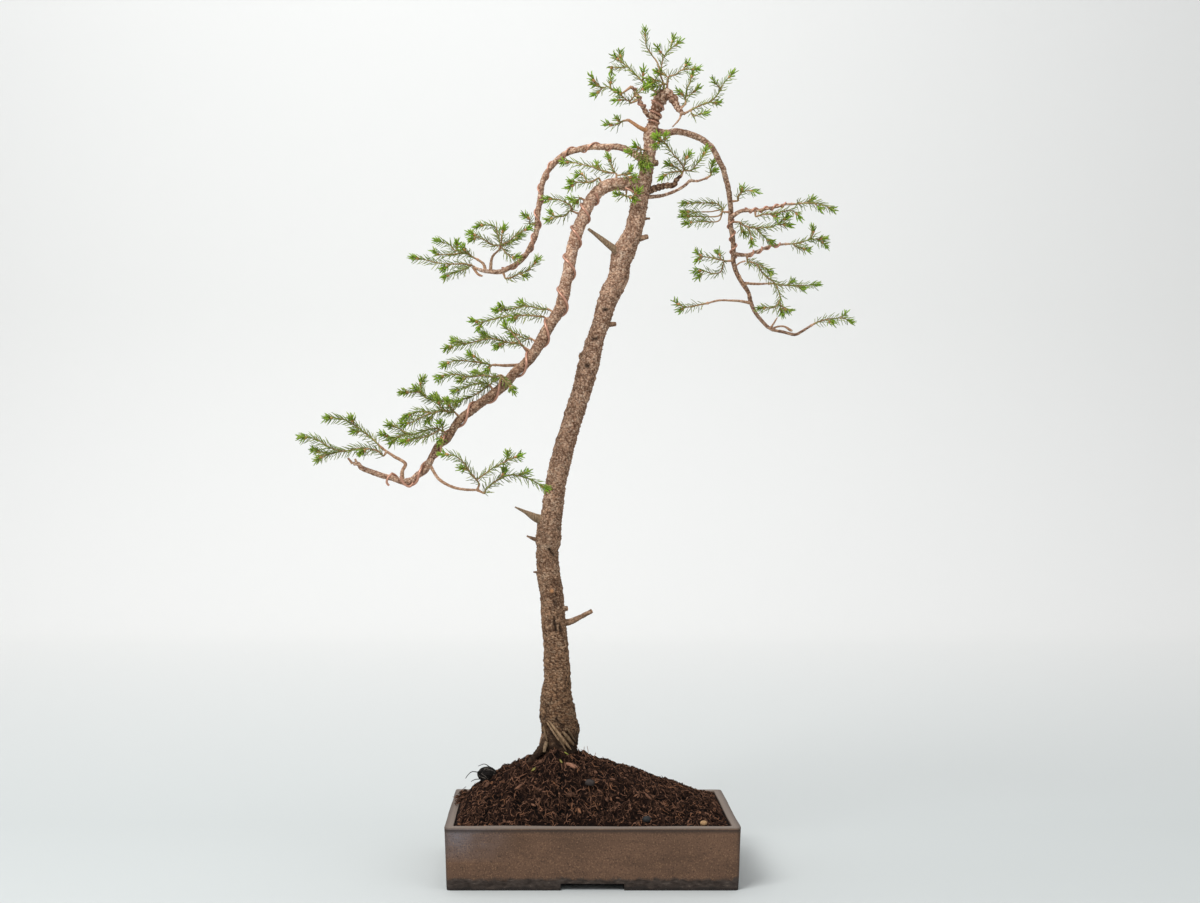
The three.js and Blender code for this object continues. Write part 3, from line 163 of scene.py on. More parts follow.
# Cut stubs and deadwood, as the rows of a limb
STUBS = [
    [[-37, 243, 2, 3.6], [-21.5, 245, 0, 3.4], [-10, 250, -3, 2.6], [1.5, 256, -6, 2.2]],
    [[-36, 258, 2, 2.6], [-23, 258.5, -2, 2.4]],
    [[-38.5, 276, 0, 3.2], [-38.5, 276, -11.5, 2.6]],
    [[-42, 345, 4, 6], [-54, 349, 1, 4], [-65, 355, -3, 1.8], [-75.5, 360, -6, 0.7]],
    [[-45, 326, 4, 3.4], [-56, 328, 2, 2], [-63.5, 331, 1, 0.8]],
    [[-44, 294, 3, 2.4], [-57, 295, 2, 0.7]],
    [[33, 611, -4, 4.4], [20, 621, -10, 3.1], [8, 630.5, -14, 2.2], [-2, 638, -18, 1.5]],
    [[44, 627, -4, 2.8], [52, 629, -6, 2.4], [57.5, 630.5, -8, 2.1]],
    [[48, 648, -4, 1.8], [59.5, 648.5, -5, 0.7]],
    [[12, 542, -1, 2.8], [25.5, 543, -3, 1.9]],
    [[0, 510, 0, 5], [-11, 511, -1, 3.2]],
    [[58, 704, -5, 3.2], [67.5, 704, -7, 2.6]],
    [[-44, 132, 0, 5], [-47, 122, -2, 4.2], [-48.5, 108, -3, 3.2]],
]

# Which of the stubs are bare deadwood, and which end in a fresh cut
DEADWOOD = (3, 6)
CUT = (0, 1, 2, 7, 9, 10, 11)

# Bare twigs: the limb that each grows on, how far its tip lies back from its root, its
# radii, and its points, across and up
TWIGS = {
    "inner_stub": ["trunk", -8, [2.3, 1.7], [[60, 736], [52, 738], [38, 747]]],
    "pad_high": ["upper_left", -8, [1.5, 1.1], [[-100, 595.5], [-98, 610], [-91, 617.5]]],
    "pad_low": ["upper_left", 8, [1.5, 1.1], [[-105, 596], [-107, 603], [-112, 607]]],
    "far_left": ["main_left", -4, [1.8, 1.2],
        [[-188, 386], [-188, 396], [-185, 403], [-197, 411], [-208, 418.5]]],
    "low_left": ["main_left", -12, [1.6, 1.1],
        [[-161.5, 404], [-152.5, 389], [-143.5, 382.5], [-134.5, 379], [-125.5, 377.5],
            [-113, 377]]],
    "mid_left": ["main_left", 6, [1.5, 1.1], [[-66, 502.5], [-84, 501.5], [-94.5, 502]]],
    "right_back": ["right", 16, [1.4, 1], [[152, 584], [168, 583], [178, 583.5]]],
    "right_low": ["right", -14, [1.4, 1],
        [[160.5, 564], [149, 566], [139, 566.5], [128, 566.5], [118, 564]]],
    "dead_thin": ["trunk", -3, [1, 0.6], [[91, 754], [89, 748], [82, 740]]],
    "dead_low": ["right", -6, [1.1, 0.6], [[180, 538.5], [187, 549.5]]],
}

# Sprays: the limb or twig that each grows on, the stretch without needles at its root,
# whether it is dense, and its stems. A stem gives how far its tip lies back from its
# root, then its points, across and up, and back where that is known. The first stem
# carries the others.
SPRAYS = {
    "crown_top": ["trunk", 30, False,
        [-6, [73, 783], [70, 792], [67.5, 803], [60.5, 813.5], [56, 820.5], [55, 828], [54.5, 839]],
        [12, [70, 792], [72, 806], [74, 811], [78, 816], [91, 826.5]],
        [-5, [74, 811], [69.5, 815.5], [66, 821]], [6, [80, 818], [82, 825], [84, 831]],
        [-9, [70, 793], [65.5, 796]]],
    "crown_front": ["trunk", 4, False,
        [-15, [77, 782], [78.5, 790.5], [84.5, 792], [91.5, 797], [102, 798], [110, 799]],
        [5, [93, 797.3], [98.5, 806]], [-8, [77, 782], [68, 786], [60, 788], [55, 788]],
        [-10, [77, 783], [69, 782], [62, 779]], [-16, [66, 785], [61, 784], [58.5, 784]],
        [-13, [63, 786], [58, 781], [55, 777]], [5, [72, 784], [68, 776], [63, 770]],
        [6, [79, 789], [73, 793], [66, 795]]],
    "crown_left": ["trunk", 6, False,
        [24, [64, 776], [58, 782], [52, 785.5], [47, 790.5], [42, 795], [38, 799.5], [32.5, 804],
            [30, 812], [29.5, 817]],
        [3, [33, 804], [26, 809], [22, 812]],
        [10, [37, 800.5], [29.5, 799], [21, 799.5], [21.5, 793]],
        [-8, [52, 785.5], [52.5, 790.5], [53.5, 799.5]]],
    "crown_low_left": ["apex_left", 4, False,
        [-10, [43, 765], [38, 766.5], [29, 767], [23, 766]], [-8, [36, 767], [30, 773], [26, 778]],
        [-16, [40, 766], [46, 773], [58, 782]]],
    "crown_far_left": ["apex_left", 4, False,
        [12, [35, 776], [32, 774], [24, 775.5], [17.5, 780.5], [12, 779], [5.5, 782], [0, 783]],
        [6, [12, 779], [6, 773.5], [2, 772.5]], [-4, [11, 780], [3, 787], [0, 792.5]],
        [-8, [20, 779], [20.5, 790]]],
    "crown_under": ["inner_stub", 2, False,
        [4, [35, 746.5], [28, 743], [21, 742], [14, 743.5]], [-5, [30, 744], [25, 750]]],
    "crown_right": ["trunk", 4, False,
        [16, [97, 755], [108.5, 761], [121, 766], [127, 772.5], [131, 779.5], [134, 785],
            [140, 791], [143, 795.5]],
        [-8, [100, 757], [103, 751], [110, 753], [118, 755]],
        [8, [119, 765], [126, 764], [131, 765]], [-9, [130, 778], [125, 784], [122, 788]]],
    "crown_back": ["trunk", 5, False,
        [16, [93, 761], [95, 767], [96.5, 777.5], [100, 786.5], [103.5, 797]],
        [6, [96, 771], [100, 772.5], [109, 780]], [-4, [95, 768], [90, 774], [86, 777]]],
    "mid_hub": ["hub", 3, False,
        [14, [92, 694], [100.5, 696.5], [105, 701], [108, 705], [112, 710], [116.5, 719.5]],
        [-4, [94, 695], [95.5, 708], [100.5, 715]],
        [-8, [93, 694.6], [86, 699.5], [81, 702], [74.5, 703.5]],
        [-14, [93, 694.6], [84.5, 695.5], [76, 692.5], [69.5, 688]],
        [-20, [95, 697], [90, 704.5], [85.5, 709.5], [80, 716.5], [72, 726], [63, 730]],
        [-4, [74, 724], [76, 733]], [-13, [72, 725], [69, 728], [66, 732]],
        [-13, [72, 725], [68, 724], [64, 720]]],
    "mid_right": ["hub_low", 2, False,
        [10, [118, 690], [120, 696.5], [122, 702], [123, 707]], [-6, [119.5, 695], [126, 697]]],
    "mid_left": ["trunk", 3, False,
        [-18, [54, 717, -9], [50, 718, -13], [43, 723, -18]], [-4, [49, 718], [41, 714], [36, 717]],
        [-4, [51, 717.5], [49, 706], [54, 698]], [-10, [54, 717], [52, 708], [51, 701]],
        [-12, [52, 714], [57, 706], [59, 699]]],
    "inner_top": ["main_left", 4, False,
        [12, [26, 691], [16, 694.5], [8, 698], [-1, 701], [-11, 703], [-16, 704.5], [-30, 704.5]],
        [4, [9, 697.6], [6, 704]], [8, [24, 692], [22, 700], [19, 708], [17, 712]],
        [-6, [25, 691.5], [33, 692.5], [39.5, 694.5], [40, 700]],
        [-8, [33, 692.5], [40, 690], [47, 690]]],
    "inner_front": ["main_left", 3, False,
        [-18, [10, 686], [3, 686], [-5, 684.5], [-13.5, 684.5], [-23.5, 677.5]],
        [-4, [-13, 684.5], [-22, 686]], [6, [-3, 685], [-9, 693], [-15, 691.5]]],
    "inner_back": ["main_left", 3, False,
        [12, [-8, 668], [-12, 667], [-17, 667], [-22, 669]], [4, [-11, 667], [-16, 663]]],
    "inner_low": ["main_left", 3, False,
        [-22, [-16, 655], [-19, 660], [-24, 664], [-34.5, 668], [-47, 667.5]],
        [6, [-18.5, 658.5], [-26, 651], [-33.5, 650], [-45, 646]], [3, [-35, 649.6], [-41, 656]]],
    "inner_under": ["main_left", 3, False,
        [-12, [36, 675], [31, 672], [24, 674]], [-8, [34, 673.5], [41, 669], [46, 667]],
        [-9, [41, 669], [46, 674], [50, 678]]],
    "pad_top": ["pad_high", 2, False,
        [-8, [-90, 619.5], [-89, 627], [-88, 635], [-85, 641.5]],
        [12, [-90, 621], [-92.5, 631.5], [-95, 640], [-107, 642], [-115, 640.5]],
        [-18, [-89.7, 622], [-82.5, 625], [-76, 630.5], [-67.5, 636], [-58.5, 640]],
        [14, [-89.8, 621], [-84, 622], [-78, 625], [-68.5, 632.5]],
        [-14, [-90, 620.5], [-83, 613], [-78, 609.5], [-70.5, 610]],
        [-16, [-90, 621], [-98, 622], [-104, 626], [-111, 629.5], [-122, 635]],
        [-5, [-112, 630], [-121.5, 627]]],
    "pad_inner": ["upper_left", 3, False,
        [-10, [-58, 643], [-61, 648], [-67.5, 653]]],
    "pad_fan": ["pad_low", 2, False,
        [8, [-114, 608], [-119, 611], [-129.5, 615.5], [-137, 617.5], [-140.5, 622], [-155.5, 627]],
        [-8, [-119, 611], [-125, 616], [-130, 622]], [-6, [-133, 616.5], [-133.5, 627]],
        [-12, [-127, 614.4], [-136, 613], [-145, 612.5], [-153.5, 613], [-157, 617]]],
    "pad_long": ["upper_left", 3, False,
        [-24, [-116, 600], [-126, 603], [-133, 603], [-143.5, 603], [-152.5, 604], [-166.5, 607.5],
            [-179.5, 610]],
        [26, [-119, 601], [-127.5, 597], [-135, 594.5], [-148, 589]],
        [-7, [-141, 603], [-148, 597]]],
    "pad_under": ["upper_left", 3, False,
        [-14, [-86, 591], [-79, 589.5], [-70.5, 593.5], [-62, 597], [-56.5, 603], [-51, 609.5]],
        [-4, [-71, 593.2], [-63, 590]]],
    "lower_a": ["main_left", 3, False,
        [26, [-39, 556], [-47.5, 557.5], [-60, 560.5], [-69, 560.5], [-84, 557], [-96.5, 557]],
        [-4, [-83, 557.2], [-92, 562]], [8, [-62, 560.7], [-71, 565]]],
    "lower_b": ["main_left", 3, False,
        [-18, [-45, 549], [-51, 550.5], [-61, 551.5], [-82, 551], [-92, 549], [-110, 545],
            [-120.5, 547]],
        [-4, [-108, 545.5], [-112.5, 537]], [-8, [-70, 551.5], [-80, 547]]],
    "lower_c": ["main_left", 3, False,
        [20, [-58, 527.5], [-62, 528], [-67, 529], [-72.5, 532.5], [-85, 540], [-86.5, 545]],
        [5, [-72, 532], [-80, 532]]],
    "lower_d": ["main_left", 3, True,
        [-20, [-65, 519], [-70.5, 523.5], [-82, 524.5], [-95.5, 528], [-104.5, 528],
            [-122.5, 523.5], [-133, 522], [-146.5, 517.5]],
        [5, [-124, 523.2], [-138.5, 526.5]], [-10, [-84, 524.8], [-95, 520]],
        [9, [-98, 528], [-108, 533]]],
    "lower_e": ["mid_left", 2, False,
        [14, [-97, 502], [-103, 503], [-109, 505], [-115, 509.5], [-122.5, 514]],
        [-10, [-106, 504], [-115, 505], [-131.5, 506.5], [-140, 505], [-148.5, 500.5]],
        [-5, [-98, 502], [-105.5, 495]]],
    "lower_f": ["main_left", 3, True,
        [-24, [-88, 491, -9], [-95.5, 490, -12], [-104.5, 491.5, -15], [-124, 490.5], [-133, 492.5],
            [-144.5, 491.5], [-154.5, 488]],
        [8, [-106, 491.5], [-116, 495]], [-8, [-122, 490.5], [-132, 486]],
        [-7, [-91, 490.5], [-84, 485, -4], [-76, 475, -7]]],
    "lower_g": ["main_left", 3, True,
        [24, [-99, 479.5], [-104, 483.5], [-113.5, 483.5], [-122.5, 481], [-138.5, 474.5]],
        [10, [-99, 483.5], [-94, 490]],
        [2, [-100, 484], [-112, 474], [-124, 468.5], [-137, 466], [-154, 466], [-164, 469],
            [-173, 477], [-176.5, 480]],
        [5, [-164, 469], [-170, 481], [-167, 490]], [-6, [-171, 475], [-190, 474.5]],
        [-6, [-148, 466], [-158, 472]]],
    "clump_high": ["main_left", 3, True,
        [-16, [-134, 453], [-140, 455], [-148, 457], [-158, 454], [-171, 455.5], [-187.5, 448.5]],
        [-5, [-160, 454], [-171, 448.5], [-180, 444], [-190, 443]], [4, [-156, 454], [-164, 444]],
        [8, [-137, 454], [-136, 461], [-131, 466]],
        [-8, [-140, 449], [-147, 456], [-151, 463], [-154, 471]],
        [-12, [-136, 454], [-141, 461], [-144, 468]]],
    "clump_low": ["main_left", 3, True,
        [18, [-148, 436], [-153, 438.5], [-162.5, 437.5], [-175.5, 433], [-189, 431.5],
            [-198.5, 429], [-210, 434]],
        [5, [-190, 431.3], [-201, 423]], [6, [-182, 432.3], [-194.5, 440], [-203.5, 442.5]],
        [-24, [-151, 435.5], [-163, 431], [-176, 428], [-189, 425]],
        [-8, [-146, 437], [-149, 430], [-151, 423]], [-10, [-143, 440], [-148, 441], [-152, 446]]],
    "far_high": ["far_left", 2, True,
        [16, [-210, 420.5], [-219.5, 429.5], [-228, 436], [-236, 442], [-248.5, 448], [-266, 449]],
        [6, [-228, 436], [-238, 435]], [-5, [-236, 442], [-240, 451]]],
    "far_tip": ["far_left", 3, True,
        [-14, [-205, 413.5], [-211, 415], [-219.5, 418], [-236, 418], [-244.5, 416], [-253, 417],
            [-261, 420], [-275.5, 428.5], [-291.5, 429.5]],
        [4, [-248, 416.3], [-261, 413.5], [-278.5, 417.5]],
        [-7, [-258, 414.2], [-267, 411], [-275.5, 406]], [-8, [-222, 418], [-231, 413]]],
    "low_left": ["low_left", 4, False,
        [-14, [-112, 380], [-114, 387], [-120.5, 395], [-126.5, 404], [-135.5, 411], [-150.5, 413]],
        [12, [-114, 387], [-105.5, 393], [-97.5, 399], [-83, 407], [-83, 416]],
        [-4, [-92, 402], [-80, 408], [-68, 412]], [-6, [-122, 397], [-131, 399]]],
    "low_right": ["low_left", 3, False,
        [24, [-109, 375], [-104, 378], [-97.5, 384], [-80.5, 392], [-70.5, 391], [-61, 388],
            [-42, 377]],
        [-4, [-92, 387], [-88, 392], [-85, 399]], [6, [-72, 391.3], [-62, 396]]],
    "right_top": ["right_upper", 2, True,
        [-14, [203.5, 663], [208.5, 663.5], [218.5, 664], [231, 662.5], [245, 656.5]],
        [4, [216, 664], [224, 669]], [-5, [224, 663.6], [231, 657]]],
    "right_under": ["right_upper", 3, False,
        [-16, [165, 653], [172.5, 652.5], [182, 653], [200.5, 656.5], [205.5, 654], [210.5, 648]],
        [-5, [180, 652.8], [189, 648.5]]],
    "right_high": ["right", 4, False,
        [-14, [145, 666], [148, 671], [151, 674.5], [157, 676.5], [167.5, 674.5]],
        [-4, [150.5, 674], [152, 681]]],
    "right_mid": ["right", 4, True,
        [-22, [146, 645], [152, 642.5], [158.5, 640], [167.5, 639], [184, 641.5], [199, 652]],
        [-4, [187, 643], [201, 641.5]], [-6, [158, 640.2], [160, 633], [162, 621.5]],
        [6, [165, 639.2], [174, 630], [183.5, 623.5]],
        [8, [149, 643.6], [151, 637], [156, 631.5]]],
    "right_inner": ["right", 4, True,
        [18, [135.5, 655], [131.5, 659], [126, 663.5], [112.5, 664], [91, 663.5]],
        [8, [132, 658], [121.5, 655.5], [107.5, 655], [91, 654.5]],
        [-16, [133.5, 656.5], [128, 651], [107, 650.5], [91, 651]],
        [-20, [132.8, 656.8], [128, 646], [110, 645.5], [94, 643.5]]],
    "right_low_inner": ["right", 4, False,
        [-18, [138, 606], [131.5, 607], [120, 609.5], [111, 611], [105.5, 616.5]],
        [-3, [113, 610.8], [105.5, 605.5]], [4, [131, 607], [129, 613], [126, 617]],
        [16, [134, 606.4], [130, 595], [121.5, 593.5], [114, 596], [103, 595.5]],
        [4, [114, 596], [106, 588.5]]],
    "right_out": ["right_lower", 2, True,
        [16, [197.5, 623], [209, 624], [216, 626.5], [226.5, 627.5], [237, 621]],
        [-5, [218, 626.8], [222.5, 633], [222, 641.5]],
        [-6, [202, 623.3], [207.5, 619.5], [220, 617]], [-3, [226, 627.5], [236, 629]]],
    "right_hang": ["right_lower", 3, True,
        [-24, [157, 607.5], [160.5, 605], [168, 602.5], [174.5, 599], [182, 593]],
        [-10, [166, 603.2], [174, 592], [184.5, 583.5], [189.5, 571], [190, 562], [192, 551]],
        [-4, [190, 562], [196, 557], [201, 555]],
        [-6, [189.6, 568], [185, 560], [176, 559], [167, 558.5]]],
    "right_back": ["right_back", 2, False,
        [14, [181, 583.5], [191.5, 582], [206.5, 581.5], [215, 581.5], [229, 583]],
        [-5, [206, 581.5], [215, 577]], [5, [196, 582], [204, 587]]],
    "right_low": ["right_low", 2, False,
        [-10, [115.5, 563.5], [103, 561], [94.5, 560], [88, 562.5], [83, 567]],
        [4, [96, 560.2], [88, 556]]],
    "right_end": ["right", 2, False,
        [8, [222.5, 542.5], [230, 546], [242.5, 548.5], [253.5, 548.5], [262.5, 544.5]],
        [3, [250, 548.5], [256, 554]], [-4, [236, 547.3], [244, 543]]],
}

# Side shoots that stay bare further than the others do
SIDE_BARE = {"right_inner": 22}

# Copper wires: the limb that each is wound on, the stretch of it from 0 to 1, the
# pitch, the turn at its start and the wire's radius. A pitch below 0 winds the other way,
# and the thick one has some more turns where it starts.
WIRES = {
    "wire_main_left": ["main_left", [0.12, 0.86], 38.5, 0, WIRE["heavy"], 1.2],
    "wire_upper_left": ["upper_left", [0.1, 0.86], 25, 0, WIRE["light"]],
    "wire_right": ["right", [0.505, 0.61], -13, 0.32, WIRE["light"]],
    "wire_apex": ["trunk", [0.84, 0.905], 9, 0.9, WIRE["light"]],
    "wire_apex_left": ["apex_left", [0.35, 0.9], 9, 0.6, WIRE["light"]],
    "wire_right_upper": ["right_upper", [0.22, 0.9], 11, 0.2, WIRE["light"]],
    "wire_right_lower": ["right_lower", [0.25, 0.9], 11.5, 0.45, WIRE["light"]],
}

# Soil: the height of its edge, how it falls to front and back, the step of its mesh and
# its underside, then the height of its ridge from left to right
SOIL = {"edge": 57.5, "fall": 1.7, "step": 1.3, "low": 17.5}
RIDGE = [
    [-132, 58], [-118, 78], [-104, 90], [-77, 103], [-55, 111], [-31, 117], [-8, 114],
    [15, 105], [34, 100], [60, 91], [85, 83], [105, 75], [122, 66], [132, 58],
]

# Peat banked up in the hollow of the trunk's foot, the clod and the pebbles on the soil,
# and the number of fibres and chips. The spilt share lies on the pot's left rim.
BANK = {"x": -36.5, "y": -21, "height": 11, "spread": 70}
CLOD = {"x": -103, "y": -7, "radius": 9.8, "squash": 0.78, "strands": 90, "grey": 0.15}
PEBBLES = {"pebble_pale": [106, -80, 3.6], "pebble_dark": [52, -79, 4.4]}
FIBRES = {"count": 4900, "chips": 2600, "spilt": 0.02, "pale": 0.22}

# The rows of the trunk that its foot takes up
TRUNK_FOOT = 9

# Strips of bare wood that peel from the trunk's foot: high end, low end, width, how far
# the low end stands off, and how dark the strip is
PEELING = [
    [[-40.6, 145.4], [-19, 117.2], 3.6, 2.2, 0],
    [[-43.6, 145], [-31.5, 126.3], 2.4, 1.2, 0.15],
    [[-37, 142], [-26, 122], 1.6, 1.4, 0.35],
    [[-27.9, 135.5], [-16.4, 121.5], 2.8, 1.2, 0.3],
    [[-23.5, 139], [-14.6, 125], 1.8, 0.8, 0.45],
    [[-47, 141], [-43, 126], 2.2, 0.6, 0.4],
    [[-33, 131], [-24, 116], 1.5, 1.6, 0.45],
]

# Marks on the trunk's front: both ends, width, and how far it stands out or goes in
MARKS = [
    [-22.5, 134.3, -12.7, 117.4, 1.5, -2.4], [-30, 141, -22, 128, 1.2, -1.8],
    [-44, 160, -47, 147, 1.3, -1.2], [-39, 168, -43, 160, 1.2, -1],
    [-43, 138, -32, 121, 4.5, -3.4], [-49, 134, -44, 125, 2.2, -1.8],
    [-51, 150, -50, 140, 1.6, -1.4], [-35, 148, -27, 140, 1.4, -1.6],
    [-13, 146, -12, 136, 1.6, 1.2], [-13, 124, -15, 114, 4, -2.6],
    [2.6, 528, 5.6, 528, 4.2, 1.2], [3.2, 528, 5.6, 528, 2.2, -3],
    [13, 557, 16, 557, 3.8, 1.1], [13.6, 557, 16, 557, 1.8, -2.4],
    [-4.6, 501, -1.4, 501, 4, 1.1], [-4.2, 501, -1.6, 501, 2.1, -2.8],
    [24.6, 614, 24.6, 614, 4, 0.9], [24.6, 614, 24.6, 614, 1.9, -2],
    [-34, 330, -34, 330, 4.2, 0.9], [-31, 338, -31, 338, 1.4, -1.3],
    [-41, 318, -36, 312, 1.5, -1.4], [-29, 300, -27, 292, 1.4, -1.2],
    [-37, 266, -33, 261, 1.6, -1.2], [-36, 246, -34, 236, 1.5, -1.8],
    [-30, 243, -29, 236, 1.3, -1.6], [-21, 183, -21, 183, 1.4, -1.4],
]

# Roots at the trunk's foot, as the rows of a limb, and which of them is bare
ROOTS = [
    [[-40, 132, -5, 6], [-46, 122, -9, 5], [-54, 112, -12, 4], [-64, 101, -14, 3]],
    [[-44, 125, -15, 2], [-45.5, 119.5, -17.5, 1.9], [-46.5, 115, -19, 1.5]],
    [[-28, 130, 12, 8], [-22, 116, 22, 5.4], [-12, 103, 32, 3.6]],
    [[-36, 134, 10, 8], [-42, 118, 20, 5.6], [-50, 104, 30, 3.8]],
]
PALE_ROOT = 1

# Bare little twigs, spurs and hooks, as the rows of a limb
SPURS = [
    [[-117.5, 600, 34, 1.5], [-112, 592.5, 33, 1.3], [-108, 591, 32, 1]],
    [[149.2, 592, 36, 0.9], [152, 585, 36, 0.8], [155, 582, 37, 0.8], [158, 585, 38, 0.6]],
    [[181, 538, 53, 1.2], [188, 540.5, 54, 1.1], [194, 540.4, 55, 1], [199.6, 537, 56, 1.5],
     [202, 536, 56, 0.9]],
    [[-63.8, 515.6, -42, 1.1], [-70, 524, -43, 0.9], [-79.8, 536.2, -45, 0.7]],
    [[-233, 403, -81.5, 1.6], [-235.4, 408, -82, 1.2]],
    [[-238, 403.5, -82, 1.5], [-242.4, 409, -82, 1]],
    [[144, 600, 37, 1], [150, 604.5, 36, 0.9], [154.9, 606, 35, 1.1]],
]

# Each limb in its bark: points round it, length between its rings, and the stretches
# from 0 to 1 that their bends fold
LIMB_MESHES = {
    "main_left": (50, 0.95, []), "upper_left": (30, 0.9, []), "right": (30, 0.9, []),
    "apex_left": (22, 0.8, [(0, 1)]), "hub": (24, 0.8, [(0, 1)]),
    "hub_low": (18, 0.8, []), "right_upper": (16, 0.8, []), "right_lower": (16, 0.8, []),
}

# Bark: the sizes of its lumps, folds, fine grain and of the waves in a bend, the radius
# from which it has its full relief, and the heights over which its foot grows darker and over which a
# fainter darkening above it fades
BARK = {"lumps": 19, "folds": 3.4, "fine": 1.5, "waves": 4.6, "full": 9, "damp": 22, "fading": 60}

# How young the bark of a limb is, from 0 to 1, at some heights: partly its age and partly painted
# light, which makes the bark lighter higher up
LIMB_AGES_AND_LIGHT = {
    "trunk": ([150, 260, 400, 640, 760], [0, 0.15, 0.45, 0.65, 1]),
    "main_left": ([390, 425, 530, 610], [0.85, 0.3, 0.45, 1]),
    "right": ([540, 600, 680, 745], [0.55, 0.4, 0.5, 1]),
    "hub": ([680, 700], [0.3, 0.6]),
}

# How many needles there are on the shoots of each part of the tree
FULLNESS = {
    "crown": 0.72, "mid": 0.9, "inner": 0.85, "pad": 1, "lower": 1, "clump": 1.05,
    "far": 0.95, "low": 1, "right": 0.76,
}

# Loose ends of wire: their points, across, up and back
WIRE_ENDS = [
    [[-199, 393, -82], [-202.5, 389, -84], [-203.6, 384.5, -84], [-201.5, 381.5, -83]],
    [[-190, 391, -81], [-187, 384, -80], [-181, 380.5, -78], [-177, 384, -78]],
    [[35, 679, -16], [39.6, 677, -17.2], [45, 674, -16.5], [49, 674.5, -14.5]],
]

# Dry roots that curl over the clod, across, up and back
CURLS = [
    [[-110.4, 94.5, -12], [-118.4, 95.2, -12], [-122.5, 92, -12], [-124.9, 88.5, -12]],
    [[-110.4, 88, -14], [-115, 87.6, -14], [-119.4, 85.5, -14]],
    [[-99, 99, -8], [-106, 103, -8], [-112, 101, -9]],
]

# Things that lie on the soil where they are seen: material, colour, across, up, length,
# width, height and turn in degrees
LITTER = [
    ["pine_bark_chip", "#946a54", -17.4, 98, 17, 4.2, 1.6, -8],
    ["charred_bark", "#3b3431", -0.4, 80, 14, 6.5, 2.6, 35],
    ["green_leaf", "#9a9a48", -23.9, 112, 4.5, 1.8, 1, 20],
    ["yellow_leaf", "#9c9250", -29.4, 104, 4, 1.6, 1, -40],
    ["dry_leaf", "#8f8446", -57, 96, 5, 2, 1, 15],
    ["pale_bark", "#7a5542", 22, 86, 7, 2.2, 1.2, -25],
    ["red_bark", "#74503c", -72, 78, 9, 2.4, 1.3, 12],
    ["brown_bark", "#6e4c3a", 58, 68, 8, 2.5, 1.3, -14],
]

# Thin root hairs that stand on the soil beside the trunk: both ends, across and up
HAIRS = [
    [[-3.4, 112], [-2.6, 121]], [[-9, 114], [-5.5, 120.5]], [[-12, 115], [-14, 123]],
    [[1, 110], [6, 114.5]], [[-4, 111], [-9, 118]],
]

# The stage, in metres: the floor's front edge, half its width, the place and height of
# the wall, and the round between them
STAGE = {"front": -5, "half": 6, "wall": 3.2, "high": 4.5, "bend": 0.9}

# Strength of the sky as light and as it is seen, and the lamps, in metres: name, place,
# aim, size and power in watts
SKY = {"lit": 0.55, "seen": 0.95}
LAMPS = [
    ("key_light", (-1, -1.3, 1.9), (0, 0, 0.68), 1.1, 42),
    ("fill_light", (1.8, -1.4, 1.2), (0, 0, 0.5), 1.6, 9),
    ("wall_light", (-0.6, 0.9, 3.4), (-0.4, 3.2, 1.1), 3, 52),
]


# Colours and settings
def linear(code):
    """The linear colour of an sRGB hex value"""
    parts = [int(code[i:i + 2], 16) / 255 for i in (1, 3, 5)]
    return tuple(p / 12.92 if p <= 0.04045 else ((p + 0.055) / 1.055) ** 2.4 for p in parts)


def tint(name, code):
    """A colour that a user can change, from its sRGB hex value"""
    return bpy.props.FloatVectorProperty(
        name=name, description=f"Colour of the {name.lower()}", subtype="COLOR",
        size=3, min=0, max=1, default=linear(code))


def measure(name, description, size, least=0.1):
    """A length that a user can change, given in millimetres"""
    return bpy.props.FloatProperty(name=name, description=description, subtype="DISTANCE",
                                   unit="LENGTH", default=size * MM, min=least * MM)


class BonsaiBark(bpy.types.PropertyGroup):
    """Relief and colours of the wood"""
    relief: measure("Relief", "Depth of the cracks between the flakes", 0.95, 0)
    flake: measure("Flake", "Width of one flake of bark", 3.4, 1)
    crack: tint("Crack", "#2f1f16")
    plate: tint("Plate", "#8d694c")
    fleck: tint("Fleck", "#caad8c")
    young_crack: tint("Young crack", "#6b4835")
    young: tint("Young bark", "#dcb497")
    young_fleck: tint("Young fleck", "#f4e6d4")
    deadwood: tint("Deadwood", "#a88f72")
    cut: tint("Cut end", "#c98f5f")


class BonsaiNeedles(bpy.types.PropertyGroup):
    """Size, density and colours of the needles"""
    length: measure("Length", "Length of a needle", 9.2, 2)
    width: measure("Width", "Width of a needle", 1.1, 0.3)
    spacing: measure("Spacing", "Length of shoot to each needle", 0.68, 0.2)
    older: tint("Older needles", "#7f884a")
    middle: tint("Needles", "#7c9034")
    fresh: tint("Fresh needles", "#87ae2c")
    shoot: tint("Shoot", "#ab8862")
    bud: tint("Bud scales", "#cf9560")


class BonsaiGround(bpy.types.PropertyGroup):
    """Colours of the pot, the soil and the wire"""
    stoneware: tint("Stoneware", "#614837")
    # The rim's top edge: a greyer haze on the clay, with a painted highlight
    rim_haze_and_highlight: tint("Stoneware haze", "#786b61")
    base: tint("Stoneware base", "#433b36")
    peat: tint("Peat", "#20130e")
    fibre: tint("Peat fibre", "#8d6651")
    copper: tint("Copper", "#c4937c")


